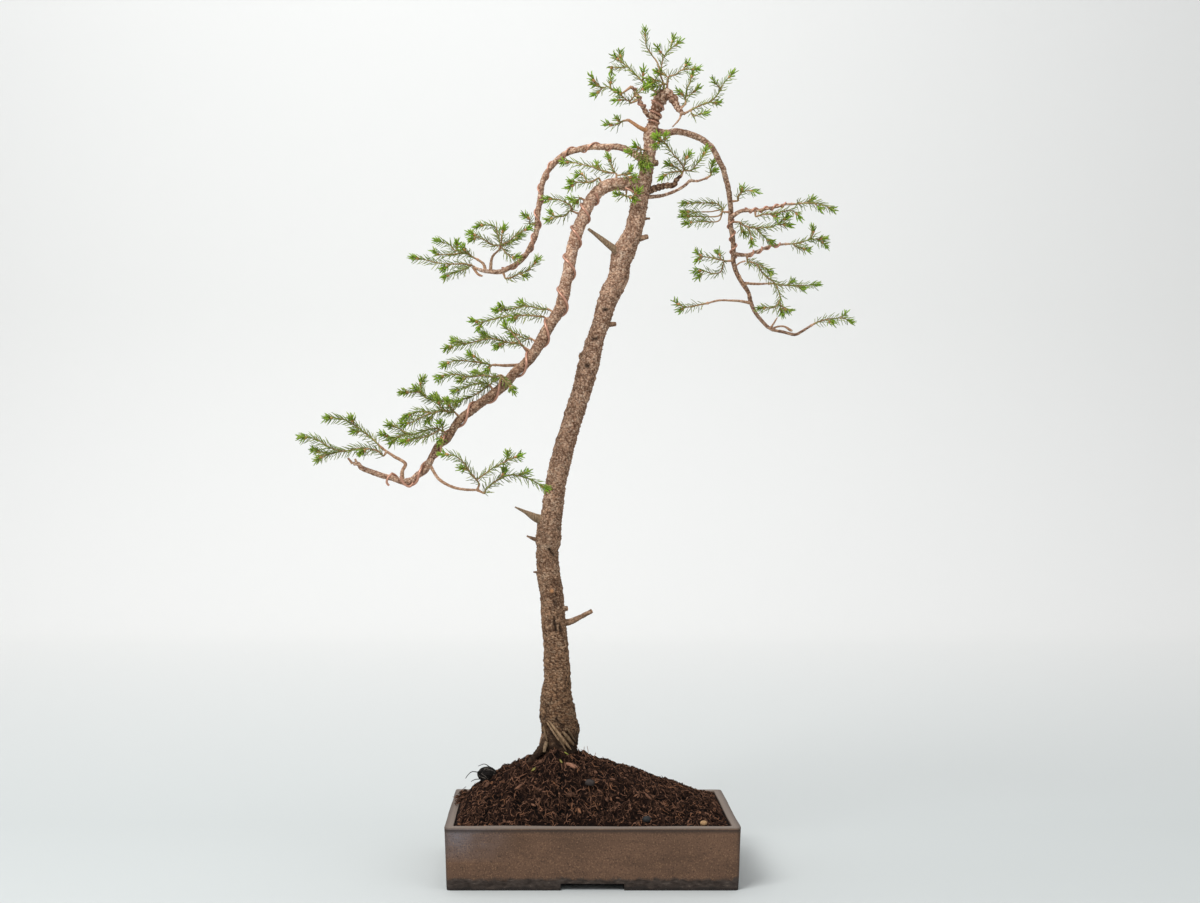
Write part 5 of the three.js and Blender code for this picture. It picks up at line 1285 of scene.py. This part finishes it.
def needle_blades(roots, along, out, lengths, widths):
    """Four-sided needles, bent a little to the tip of their shoot: points and faces"""
    count = len(roots)
    flat = unit(np.cross(along, out))
    axis = unit(along)
    lift = unit(out - axis * np.sum(out * axis, 1, keepdims=True))
    rings = []
    for share, wide, bend in ((0.0, 0.6, 0.0), (0.35, 1.0, 0.03), (0.78, 0.8, 0.01)):
        centre = roots + axis * (lengths * share)[:, None] + lift * (lengths * bend)[:, None]
        half = (widths * wide / 2)[:, None]
        for a, b in ((1, 0), (0, 0.75), (-1, 0), (0, -0.75)):
            rings.append(centre + flat * half * a + lift * half * b)
    tip = roots + axis * lengths[:, None] - lift * (lengths * 0.04)[:, None]
    points = np.stack([*rings, tip], axis=1)
    pairs = ((0, 1), (1, 2), (2, 3), (3, 0))
    quads = [[3, 2, 1, 0]] + [[ring + a, ring + b, ring + 4 + b, ring + 4 + a]
                              for ring in (0, 4) for a, b in pairs]
    tips = [[8 + a, 8 + b, 12] for a, b in pairs]
    shift = (np.arange(count) * BLADE)[:, None, None]
    return points.reshape(-1, 3), [(np.array(quads) + shift).reshape(-1, 4),
                                   (np.array(tips) + shift).reshape(-1, 3)]


def leafy(heap, line, bare, dense, amount, rng):
    """One shoot with its bark, its needles all round and the bud at its tip"""
    settings = bpy.context.scene.bonsai_needles
    places, lengths = line.evenly(SHOOT["ring"])
    total, tuft = lengths[-1], SHOOT["tuft"]
    points = line.at(places)
    share = lengths / total
    radii = np.interp(share, [0, 1], line.radii)
    knobs = 1 + 0.18 * rng.standard_normal((len(points), SHOOT["sides"]))
    shape, faces = tube(points, radii[:, None] * knobs.clip(0.7, 1.5), SHOOT["sides"])
    heap.add(shape, faces, 1,
             fresh=with_caps(np.repeat(share[:, None] ** 2 * 0.6, SHOOT["sides"], axis=1)))
    tangents, normals, across = rings_along(points)

    apart, in_tuft, freshness = DENSE if dense else OPEN
    spacing = settings.spacing / MM / amount * apart
    body = np.arange(bare, max(total - tuft, bare + spacing), spacing)
    count = int(in_tuft * amount)
    end = np.linspace(max(total - tuft - 1, 0.5), total - 1.5, count)
    runs = np.clip(np.concatenate([body, end]) + rng.uniform(-0.3, 0.3, len(body) + len(end)),
                   0.3, total - 0.1)
    is_end = np.arange(len(runs)) >= len(body)
    turn = np.arange(len(runs)) * NEXT_TURN + rng.uniform(-0.4, 0.4, len(runs))

    centre, ahead, normal, beside = (between(runs, lengths, rows)
                                     for rows in (points, tangents, normals, across))
    ahead, side = unit(ahead), unit(turned(turn, normal, beside))
    to_tip = (total - runs) / total
    near_end = np.clip((total - runs) / tuft, 0, 1)
    sweep = np.where(is_end, rng.uniform(0.1, 1.0, len(runs)) + 0.25 * near_end,
                     rng.uniform(0.55, 1.1, len(runs)) * (0.85 + 0.25 * to_tip))
    sweep = sweep - 0.2 * side[:, 2] * (1 - is_end)
    direction = turned(sweep, ahead, side)
    size = settings.length / MM * rng.uniform(0.72, 1.12, len(runs))
    size = np.where(is_end, size * 0.75, size * (1 - 0.25 * np.clip(1 - runs / 8, 0, 1)))
    radius = np.interp(runs / total, [0, 1], line.radii)
    roots = centre + side * (radius * 0.6)[:, None]
    wide = settings.width / MM * np.where(is_end, 1.25, 0.88)
    shape, faces = needle_blades(roots, direction, side, size, wide)
    young = np.where(is_end, rng.uniform(0.7, 1.0, len(runs)),
                     np.clip(0.6 - 0.7 * to_tip + rng.uniform(-0.25, 0.25, len(runs)), 0, 1))
    heap.add(shape, faces, fresh=np.repeat(young * freshness, BLADE),
             tone=np.repeat(rng.random(len(runs)), BLADE))

    if rng.random() < BUDDED:
        place = max(total - tuft - 0.5, total * 0.5)
        middle = between(place, lengths, points)
        forward = unit(between(place, lengths, tangents))
        along = middle + forward * np.array([-1.9, -0.9, 0.5, 1.9])[:, None]
        scales = np.array([0.8, 1.6, 1.5, 0.8])[:, None] * rng.uniform(0.75, 1.25, (4, 7))
        heap.add_tube(along, scales * rng.uniform(0.75, 1.1), 7, 2)


class BONSAI_OT_sprays(bpy.types.Operator):
    """Makes each spray of needles on its shoots"""
    bl_idname = "bonsai.sprays"
    bl_label = "Needle sprays"

    def execute(self, context):
        materials = [needle_material(), shoot_material(), bud_material()]
        for order, name in enumerate(SPRAYS):
            rng = np.random.default_rng(SEEDS["sprays"] + order)
            heap = Heap("fresh", "tone")
            amount = FULLNESS[name.split("_")[0]]
            for _, line, bare, dense in (shoot for shoot in SHOOTS if shoot[0] == name):
                leafy(heap, line, bare, dense, amount, rng)
            settle(heap.build(f"spray_{name}", materials), "needles", f"needles_{name}")
        return {"FINISHED"}


# Wire
def coil_points(limb, stretch, pitch, start, radius, tight=0.0):
    """Points of a wire wound on a limb, with some more turns where it starts if it is tight"""
    steps = WIRE["places"]
    t = np.linspace(*stretch, steps)
    points = limb.at(t)
    _, normals, across = rings_along(points)
    run = np.concatenate([[0], np.cumsum(np.linalg.norm(np.diff(points, axis=0), axis=1))])
    turns = start + run / pitch + tight * (1 - np.exp(-run / WIRE["eases"]))
    angle = turns * 2 * math.pi
    slack = WIRE["slack"] * soft_noise(np.stack([run, run * 0, run * 0], 1), 15)
    reach = limb.radius(t) + radius + slack
    coil = points + reach[:, None] * turned(angle, normals, across)
    count = int(run[-1] / abs(pitch) * WIRE["corners"]) + 1
    pick = np.linspace(0, steps - 1, count)
    return between(pick, np.arange(steps), coil)


class BONSAI_OT_wires(bpy.types.Operator):
    """Winds the copper wires on their limbs"""
    bl_idname = "bonsai.wires"
    bl_label = "Copper wires"

    def execute(self, context):
        for name, (on, stretch, pitch, start, radius, *tight) in WIRES.items():
            points = coil_points(LIMBS[on], stretch, pitch, start, radius, *tight)
            self.wire(context, f"coil_{name[5:]}", points, radius, name)
        for number, rows in enumerate(WIRE_ENDS):
            line = Line([in_space(*row) for row in rows], [1])
            points = line.at(np.linspace(0, 1, 24))
            self.wire(context, f"wire_end_{number + 1}", points, WIRE["heavy"] * 0.9)
        return {"FINISHED"}

    def wire(self, context, piece_name, points, radius, *nodes):
        """One round wire with flat capped ends, from a bevelled curve made a mesh"""
        curve = bpy.data.curves.new(piece_name, "CURVE")
        curve.dimensions = "3D"
        curve.bevel_depth = radius * MM
        curve.bevel_resolution = 4
        curve.use_fill_caps = True
        spline = curve.splines.new("POLY")
        spline.points.add(len(points) - 1)
        flat = np.concatenate([points * MM, np.ones((len(points), 1))], axis=1)
        spline.points.foreach_set("co", flat.reshape(-1))
        wire = bpy.data.objects.new(piece_name, curve)
        context.scene.collection.objects.link(wire)
        only(wire)
        bpy.ops.object.convert(target="MESH")
        wire = context.view_layer.objects.active
        wire.data.materials.clear()
        wire.data.materials.append(copper_material())
        bpy.ops.object.shade_smooth_by_angle(angle=SMOOTH["round"])
        settle(wire, "copper_wire", *nodes)


# Soil
def soil_height(x, y):
    """Height of the mound"""
    ridge = np.interp(x, [row[0] for row in RIDGE], [row[1] for row in RIDGE])
    fall = np.maximum(1 - np.abs(y / INSIDE[1]) ** SOIL["fall"], 0)
    away = np.hypot(x - BANK["x"], y - BANK["y"])
    bank = BANK["height"] * np.exp(-away ** 2 / BANK["spread"])
    return SOIL["edge"] + np.maximum(ridge - SOIL["edge"], 0) * fall + bank


def crumbs(x, y):
    """How far the clods and crumbs stand out of the mound or lie below it"""
    flat = np.stack(np.broadcast_arrays(x, y, 0 * x), -1)
    inwards = np.minimum(INSIDE[0] - np.abs(x), INSIDE[1] - np.abs(y))
    edge = np.minimum(1, inwards / 12).clip(0.15)
    clods = 1.3 * soft_noise(flat, 17) + 2.0 * soft_noise(flat + 50, 7)
    return edge * (clods + 2.0 * soft_noise(flat + 90, 3.0))


def rough_soil(x, y):
    """Height of the mound with its clods and crumbs"""
    return soil_height(x, y) + crumbs(x, y)


def anywhere(rng, off_side, off_front):
    """A random place in the pot, that far from its side and front walls"""
    x, y = INSIDE[0] - off_side, INSIDE[1] - off_front
    return rng.uniform(-x, x), rng.uniform(-y, y)


def on_soil(across, up):
    """Where the line of sight through a point of the trunk's plane meets the mound"""
    back = np.linspace(-86, 80, 500)
    x, y, z = in_space(across, up, back)
    first = int(np.argmax(z < rough_soil(x, y)))
    return x[first], y[first], rough_soil(x[first], y[first])


class BONSAI_OT_soil(bpy.types.Operator):
    """Makes the mound of peat, with the fibres, crumbs and chips that lie on it"""
    bl_idname = "bonsai.soil"
    bl_label = "Soil"

    def execute(self, context):
        colours = context.scene.bonsai_ground
        self.mound()
        rng = np.random.default_rng(SEEDS["soil"])
        strands = peat_material("peat_fibre", darker(colours.peat, 0.9), colours.fibre)
        for name in ("peat_fibres", "peat_strands"):
            heap = Heap("tone")
            for _ in range(FIBRES["count"]):
                self.fibre(heap, rng)
            settle(heap.build(name, [strands]), "peat", "soil")
        heap = Heap("tone")
        for _ in range(FIBRES["chips"]):
            x, y = anywhere(rng, 4, 3)
            size = rng.gamma(2.0, 0.5) + 0.6
            self.chip(heap, rng, x, y, size, size * rng.uniform(0.2, 0.6),
                      size * rng.uniform(0.15, 0.4), rng.uniform(0, 2 * math.pi))
        settle(heap.build("peat_crumbs", [strands]), "peat", "soil")
        self.litter(rng)
        return {"FINISHED"}

    def mound(self):
        """The mound itself: a rough top, straight sides against the pot and a flat underside"""
        colours = bpy.context.scene.bonsai_ground
        width, depth = (2 * size - 1 for size in INSIDE)
        columns, rows = int(width / SOIL["step"]), int(depth / SOIL["step"])
        x, y = np.meshgrid(np.linspace(-width / 2, width / 2, columns + 1),
                           np.linspace(-depth / 2, depth / 2, rows + 1), indexing="ij")
        relief = crumbs(x, y)
        top = np.stack([x, y, soil_height(x, y) + relief], -1).reshape(-1, 3)
        low = top.copy()
        low[:, 2] = SOIL["low"]
        net = np.arange(x.size).reshape(x.shape)
        quads = np.stack([net[:-1, :-1], net[1:, :-1], net[1:, 1:], net[:-1, 1:]], -1)
        loop = np.concatenate([net[:-1, 0], net[-1, :-1], net[:0:-1, -1], net[0, :0:-1]])
        nxt = (np.arange(len(loop)) + 1) % len(loop)
        base = len(top)
        walls = np.stack([loop, base + np.arange(len(loop)), base + nxt, loop[nxt]], -1)
        floor = [list(range(base + len(loop) - 1, base - 1, -1))]
        # The mound's tone follows its relief: painted shade darkens its hollows nearly to black, and
        # painted light makes its tops lighter
        tone = np.clip(0.35 + relief / 5, 0, 0.9).reshape(-1)
        heap = Heap("tone")
        heap.add(np.vstack([top, low[loop]]), [quads.reshape(-1, 4), walls, floor],
                 tone=np.concatenate([tone, np.zeros(len(loop))]))
        material = peat_material("damp_peat", darker(colours.peat, 0.1),
                                 darker(colours.peat, 1.3))
        settle(heap.build("peat", [material]), "peat", "soil")

    def fibre(self, heap, rng):
        """A curly strand that lies on the mound, thicker than most of the real ones to show"""
        spilt = rng.random() < FIBRES["spilt"]
        x, y = anywhere(rng, 3, 2)
        if spilt:
            x, y = -rng.triangular(127, 128, 137), rng.triangular(-5, 50, 80)
        heading = rng.uniform(0, 2 * math.pi)
        length = rng.gamma(2.4, 1.4) + 1.5
        steps = np.linspace(-0.5, 0.5, 4)
        bend = rng.uniform(-0.9, 0.9) * length * (steps ** 2 - 0.1) * 2
        xs = x + length * steps * math.cos(heading) - bend * math.sin(heading)
        ys = y + length * steps * math.sin(heading) + bend * math.cos(heading)
        if not spilt:
            xs = np.clip(xs, 1.5 - INSIDE[0], INSIDE[0] - 1.5)
            ys = np.clip(ys, 1 - INSIDE[1], INSIDE[1] - 1)
        thick = rng.uniform(0.22, 0.5)
        lift = thick * 0.5 + rng.uniform(-0.2, 1.1) * (0.5 + np.abs(steps) * rng.uniform(-1, 2))
        zs = rough_soil(xs, ys) + lift
        if spilt:
            zs = POT["height"] + lift + rng.uniform(0, 1) * np.clip(138 + xs, 0, 9) * 0.7
        tone = rng.uniform(0.75, 1.0) if rng.random() < FIBRES["pale"] else rng.uniform(0, 0.35)
        heap.add_tube(np.stack([xs, ys, zs], 1), thick * np.array([0.5, 1, 0.9, 0.4]), 4,
                      tone=tone)

    def chip(self, heap, rng, x, y, length, width, thick, turn, lift=0.3, corners=7,
             slot=0):
        """A flat crumb of bark with a broken outline, length and width from its middle"""
        angle = round_angles(corners)
        reach = rng.uniform(0.55, 1.15, corners)
        across = width * 1.35 * reach * np.sin(angle) ** 3
        flat = np.stack([length * reach ** 0.4 * np.cos(angle), across], 1)
        spin = np.array([[math.cos(turn), -math.sin(turn)], [math.sin(turn), math.cos(turn)]])
        flat = flat @ spin.T
        slope = [float(rough_soil(x + dx, y + dy) - rough_soil(x - dx, y - dy)) / 6
                 for dx, dy in ((3, 0), (0, 3))]
        tilt = np.clip(slope, -0.6, 0.6) + rng.uniform(-0.2, 0.2, 2)
        height = float(rough_soil(x, y)) + thick * lift
        low = np.column_stack([flat + [x, y], height + flat @ tilt - thick / 2])
        high = np.column_stack([flat * 0.85 + [x, y], height + flat @ tilt + thick / 2])
        k = np.arange(corners)
        nxt = (k + 1) % corners
        walls = np.stack([k, nxt, corners + nxt, corners + k], -1)
        heap.add(np.vstack([low, high]), [walls, [list(range(corners - 1, -1, -1))],
                                          [list(range(corners, 2 * corners))]], slot,
                 tone=rng.random() ** 2.2)

    def litter(self, rng):
        """The chips of wood and leaf and the root hairs that are seen on the mound"""
        heap = Heap("tone")
        for slot, (_, _, across, up, length, width, thick, turn) in enumerate(LITTER):
            x, y, _ = on_soil(across, up)
            self.chip(heap, rng, x, y, length / 2, width / 2, thick, math.radians(turn), 1.6, 11,
                      slot)
        for low, high in HAIRS:
            x, y, z = on_soil(low[0], low[1] - 1.5)
            end = in_space(*high, y)
            steps = np.linspace(0, 1, 8)[:, None]
            points = np.array([x, y, z - 1]) * (1 - steps) + end * steps
            points[:, 0] += 0.8 * np.sin(steps[:, 0] * 4)
            heap.add_tube(points, np.linspace(0.35, 0.2, 8), 5)
        materials = [plain_material(name, linear(code), 0.85, 2.5, 0.5) for name, code, *_ in LITTER]
        settle(heap.build("litter", materials), "peat", "soil")


# Loose things
class BONSAI_OT_loose(bpy.types.Operator):
    """Makes the black fibrous clod and the two pebbles on the soil"""
    bl_idname = "bonsai.loose"
    bl_label = "Clod and pebbles"

    def execute(self, context):
        self.clod()
        self.pebble("pebble_pale", "pale_stone", "pale_quartzite", "#b08d66")
        self.pebble("pebble_dark", "dark_stone", "dark_slate", "#2a2c2d")
        return {"FINISHED"}

    def clod(self):
        """A ball of black roots, wound with strands"""
        x, y, radius, squash = CLOD["x"], CLOD["y"], CLOD["radius"], CLOD["squash"]
        centre = np.array([x, y, float(soil_height(x, y)) + radius * squash * 0.55])
        half = np.array([radius, radius * 0.9, radius * squash]) * 0.86
        heap = Heap()
        rng = np.random.default_rng(SEEDS["clod"])
        for _ in range(CLOD["strands"]):
            axis = unit(rng.normal(size=3) + [0.3, 0.9, 0.5])
            first = unit(np.cross(axis, rng.normal(size=3)))
            second = np.cross(axis, first)
            shift = rng.uniform(-0.75, 0.75)
            angle = rng.uniform(0, 2 * math.pi) + np.linspace(0, rng.uniform(1.2, 3.4), 14)
            reach = math.sqrt(1 - shift ** 2)
            points = axis * shift + reach * turned(angle, first, second)
            points = centre + points * half * (1 + rng.uniform(0, 0.12))
            heap.add_tube(points, np.full(14, rng.uniform(0.3, 0.65)), 5,
                          int(rng.random() < CLOD["grey"]))
        heap.add(*self.ball(centre, half * 0.97, 3, 3, 0.08))
        for rows in CURLS:
            line = Line([in_space(*row) for row in rows], [1])
            heap.add_tube(line.at(np.linspace(0, 1, 20)), np.linspace(0.5, 0.3, 20), 5)
        materials = [plain_material("root_clod", linear("#1b1715"), 0.95, 1.5),
                     plain_material("grey_strand", linear("#5d564f"), 0.9, 1.5)]
        settle(heap.build("root_clod", materials), "black_fibre", "clod")

    def ball(self, centre, half, subdivisions, seed, rough):
        """Points and faces of an uneven ball, from an icosphere"""
        ball = fresh_primitive(bpy.ops.mesh.primitive_ico_sphere_add, "ball",
                               subdivisions=subdivisions, radius=1)
        points = np.array([v.co for v in ball.data.vertices])
        faces = [[list(p.vertices) for p in ball.data.polygons]]
        bpy.data.objects.remove(ball)
        waves = soft_noise(points + 5 * seed, 0.9) + 0.4 * soft_noise(points + 9 * seed, 0.35)
        return centre + points * (1 + rough * waves)[:, None] * half, faces

    def pebble(self, name, slot, stone, code):
        """A worn pebble, half sunk in the soil's surface"""
        x, y, radius = PEBBLES[name]
        centre = [x, y, float(soil_height(x, y)) + radius * 0.7 * 0.4]
        half = np.array([radius, radius * 0.9, radius * 0.7])
        heap = Heap()
        heap.add(*self.ball(centre, half, 4, len(name), 0.09))
        material = plain_material(stone, linear(code), 0.7, 2.0, 0.3)
        settle(heap.build(f"stone_{name[7:]}", [material]), slot, name)


# Pot
def pick_faces(piece, test):
    """Selects the faces whose middle and normal pass a test, and turns edit mode on"""
    only(piece)
    bpy.ops.object.mode_set(mode="EDIT")
    bpy.ops.mesh.select_mode(type="FACE")
    bpy.ops.mesh.select_all(action="DESELECT")
    bpy.ops.object.mode_set(mode="OBJECT")
    for face in piece.data.polygons:
        face.select = bool(test(face.center / MM, face.normal))
    bpy.ops.object.mode_set(mode="EDIT")


def metres(*sizes):
    """Millimetres as a vector of metres"""
    return Vector(sizes) * MM


class BONSAI_OT_pot(bpy.types.Operator):
    """Makes the slab pot with soft edges and slightly uneven walls"""
    bl_idname = "bonsai.pot"
    bl_label = "Pot"

    def execute(self, context):
        width, depth, height = POT["width"], POT["depth"], POT["height"]
        pot = fresh_primitive(bpy.ops.mesh.primitive_cube_add, "slab_pot", size=1,
                              location=(0, 0, height / 2 * MM))
        pot.scale = metres(width, depth, height)
        bpy.ops.object.transform_apply(location=True, rotation=False, scale=True)

        # The walls draw in to the foot
        pick_faces(pot, lambda middle, normal: normal.z < -0.9)
        narrower = (1 - 2 * POT["draft"] / width, 1 - 2 * POT["draft"] / depth, 1)
        bpy.ops.transform.resize(value=narrower, center_override=(0, 0, 0))

        # The hollow, and the foot band round the underside
        bpy.ops.object.mode_set(mode="OBJECT")
        for down, wall, move in ((False, POT["wall"], FLOOR_TOP - height),
                                 (True, FOOT["width"], FOOT["height"])):
            pick_faces(pot, lambda middle, normal: (normal.z < -0.9) if down else
                       (normal.z > 0.9 and middle.z > height - 1))
            bpy.ops.mesh.inset(thickness=wall * MM)
            bpy.ops.mesh.extrude_region_move(
                TRANSFORM_OT_translate={"value": metres(0, 0, move)})
            bpy.ops.object.mode_set(mode="OBJECT")

        # The upright corners are rounded, outside and in the hollow
        for outside in (True, False):
            pick_faces(pot, lambda middle, normal: False)
            bpy.ops.mesh.select_mode(type="EDGE")
            bpy.ops.object.mode_set(mode="OBJECT")
            for edge in pot.data.edges:
                low, high = (pot.data.vertices[k].co / MM for k in edge.vertices)
                at_wall = abs(high.x) > width / 2 - POT["wall"] / 2
                edge.select = abs(low.z - high.z) > height / 2 and at_wall == outside
            bpy.ops.object.mode_set(mode="EDIT")
            bpy.ops.mesh.bevel(offset=POT["corner"] / (1 if outside else 2) * MM, segments=4)
            bpy.ops.object.mode_set(mode="OBJECT")

        # The cut-outs of the foot and the drain holes
        cutters = [fresh_primitive(
            bpy.ops.mesh.primitive_cube_add, "cutter", size=1,
            scale=metres(FOOT["cut_width"], 2 * depth, 2 * FOOT["cut_height"]))]
        for side in (-1, 1):
            cutters.append(fresh_primitive(
                bpy.ops.mesh.primitive_cylinder_add, "cutter", vertices=40,
                radius=DRAIN["radius"] * MM, depth=3 * FLOOR_TOP * MM,
                location=metres(side * DRAIN["offset"], 0, FLOOR_TOP)))
        for cutter in cutters:
            apply_modifier(pot, "BOOLEAN", operation="DIFFERENCE", solver="EXACT", object=cutter)
            bpy.data.objects.remove(cutter)
        apply_modifier(pot, "BEVEL", width=POT["edge"] * MM, segments=3, limit_method="ANGLE",
                       angle_limit=SMOOTH["pot"])

        # Slices give the walls points, and slow noise makes them uneven
        bpy.ops.object.mode_set(mode="EDIT")
        for axis, half, step in ((0, width / 2, POT["slice"]), (1, depth / 2, POT["slice"]),
                                 (2, height, POT["high_slice"])):
            for place in np.arange(-half + step / 2, half, step):
                if axis == 2 and place < FOOT["height"] + 2:
                    continue
                normal = Vector([float(axis == k) for k in range(3)])
                bpy.ops.mesh.select_all(action="SELECT")
                bpy.ops.mesh.bisect(plane_co=normal * float(place) * MM, plane_no=normal)
        bpy.ops.mesh.select_all(action="SELECT")
        bpy.ops.mesh.normals_make_consistent(inside=False)
        bpy.ops.object.mode_set(mode="OBJECT")
        points = np.array([vertex.co for vertex in pot.data.vertices]) / MM
        hold = np.clip(points[:, 2:] / 14, 0, 1)
        sway = np.stack([soft_noise(points + 20 * k, POT["waves"]) for k in (1, 2, 3)], 1)
        points += hold * (sway * [0.4, 0.45, 0.45] - [0, 0, 0.4])
        pot.data.vertices.foreach_set("co", (points * MM).reshape(-1))
        pot.data.materials.clear()
        pot.data.materials.append(stoneware_material())
        only(pot)
        bpy.ops.object.shade_smooth_by_angle(angle=SMOOTH["pot"])
        settle(pot, "stoneware", "pot")
        return {"FINISHED"}


class BONSAI_OT_screens(bpy.types.Operator):
    """Makes the two drainage screens of plastic mesh"""
    bl_idname = "bonsai.screens"
    bl_label = "Drainage screens"

    def execute(self, context):
        material = plain_material("extruded_mesh", linear("#2c2f2e"), 0.6, 1.5, 0.1)
        side, thread = SCREEN["side"] - SCREEN["thread"], SCREEN["thread"]
        for name, place in (("screen_left", -DRAIN["offset"]), ("screen_right", DRAIN["offset"])):
            screen = fresh_primitive(
                bpy.ops.mesh.primitive_grid_add, f"mesh_{name}", size=side * MM,
                x_subdivisions=SCREEN["threads"], y_subdivisions=SCREEN["threads"],
                location=metres(place, 0, SCREEN["low"] + thread))
            bpy.ops.object.transform_apply(location=True)
            apply_modifier(screen, "WIREFRAME", thickness=thread * MM, use_even_offset=True)
            screen.data.materials.append(material)
            settle(screen, "mesh_plastic", name)
        return {"FINISHED"}


class BONSAI_OT_stage(bpy.types.Operator):
    """Makes the pale floor and wall, the soft light and the camera"""
    bl_idname = "bonsai.stage"
    bl_label = "Stage"

    def execute(self, context):
        floor = fresh_primitive(bpy.ops.mesh.primitive_plane_add, "floor", size=1)
        wall, bend, half = STAGE["wall"], STAGE["bend"], STAGE["half"]
        profile = [(STAGE["front"], 0.0)]
        profile += [(wall - bend + bend * math.sin(a), bend - bend * math.cos(a))
                    for a in np.linspace(0, math.pi / 2, 18)]
        profile += [(wall, STAGE["high"])]
        points = [(x, y, z) for y, z in profile for x in (-half, half)]
        faces = [(2 * k, 2 * k + 1, 2 * k + 3, 2 * k + 2) for k in range(len(profile) - 1)]
        floor.data.clear_geometry()
        floor.data.from_pydata(points, [], faces)
        floor.data.update()
        only(floor)
        bpy.ops.object.shade_smooth_by_angle(angle=SMOOTH["round"])
        material, tree, shader, where, (fibre,) = surface("matt_white_paper", 0.8, [(4, 3, 0.55)])
        far = add(tree, "SeparateXYZ", {0: where}, 1)
        paper = painted(tree, linear("#c3c7c6"), (far, 0.2, 2.4, 1, linear("#efefed")))
        finish(tree, shader, paper, fibre, 0.05, 0.2)
        floor.data.materials.append(material)

        world = bpy.data.worlds.new("soft_sky")
        world.use_nodes = True
        tree = world.node_tree
        background = tree.nodes["Background"]
        background.inputs[0].default_value = (*linear("#f6f8fb"), 1)
        seen = add(tree, "LightPath", out="Is Camera Ray")
        strength = together(tree, (seen, 0, 1, SKY["lit"], SKY["seen"]))
        tree.links.new(strength, background.inputs[1])
        context.scene.world = world
        for lamp in LAMPS:
            self.lamp(context, *lamp)

        nothing_selected()
        bpy.ops.object.camera_add()
        camera = context.view_layer.objects.active
        camera.location = metres(EYE["across"], -EYE["distance"], EYE["up"])
        camera.rotation_euler = (math.pi / 2, 0, 0)
        camera.data.sensor_width = 36
        camera.data.lens = 36 * EYE["distance"] / FRAME["width"]
        camera.data.shift_x = FRAME["right"] / FRAME["width"]
        camera.data.shift_y = FRAME["up"] / FRAME["width"]
        camera.data.clip_start = 0.05
        context.scene.camera = camera
        context.scene.view_settings.view_transform = "Standard"
        return {"FINISHED"}

    def lamp(self, context, name, place, aim, size, power):
        """A square area light, itself unseen"""
        data = bpy.data.lights.new(name, "AREA")
        data.size = size
        data.energy = power
        lamp = bpy.data.objects.new(name, data)
        context.scene.collection.objects.link(lamp)
        lamp.location = place
        lamp.rotation_euler = (Vector(aim) - Vector(place)).to_track_quat("-Z", "Y").to_euler()
        lamp.visible_camera = False


class BONSAI_PT_panel(bpy.types.Panel):
    """Lists the pieces of the bonsai"""
    bl_label = "Spruce bonsai"
    bl_space_type = "VIEW_3D"
    bl_region_type = "UI"
    bl_category = "Bonsai"

    def draw(self, context):
        for operator in OPERATORS:
            self.layout.operator(operator.bl_idname)
        for name in GROUPS:
            settings = getattr(context.scene, name)
            for field in settings.__annotations__:
                self.layout.prop(settings, field)


OPERATORS = [
    BONSAI_OT_stage, BONSAI_OT_pot, BONSAI_OT_screens, BONSAI_OT_soil, BONSAI_OT_loose,
    BONSAI_OT_trunk, BONSAI_OT_limbs, BONSAI_OT_twigs, BONSAI_OT_wires, BONSAI_OT_sprays,
]
GROUPS = {"bonsai_bark": BonsaiBark, "bonsai_needles": BonsaiNeedles, "bonsai_ground": BonsaiGround}


def register():
    """Registers the classes and the settings of the scene"""
    for cls in (*GROUPS.values(), *OPERATORS, BONSAI_PT_panel):
        bpy.utils.register_class(cls)
    for name, group in GROUPS.items():
        setattr(bpy.types.Scene, name, bpy.props.PointerProperty(type=group))


def unregister():
    """Takes the classes and the settings away again"""
    for name in GROUPS:
        delattr(bpy.types.Scene, name)
    for cls in (BONSAI_PT_panel, *reversed(OPERATORS), *GROUPS.values()):
        bpy.utils.unregister_class(cls)


def main():
    """Makes every piece in order"""
    register()
    for operator in OPERATORS:
        getattr(bpy.ops.bonsai, operator.bl_idname.split(".")[1])()


if __name__ == "__main__":
    main()
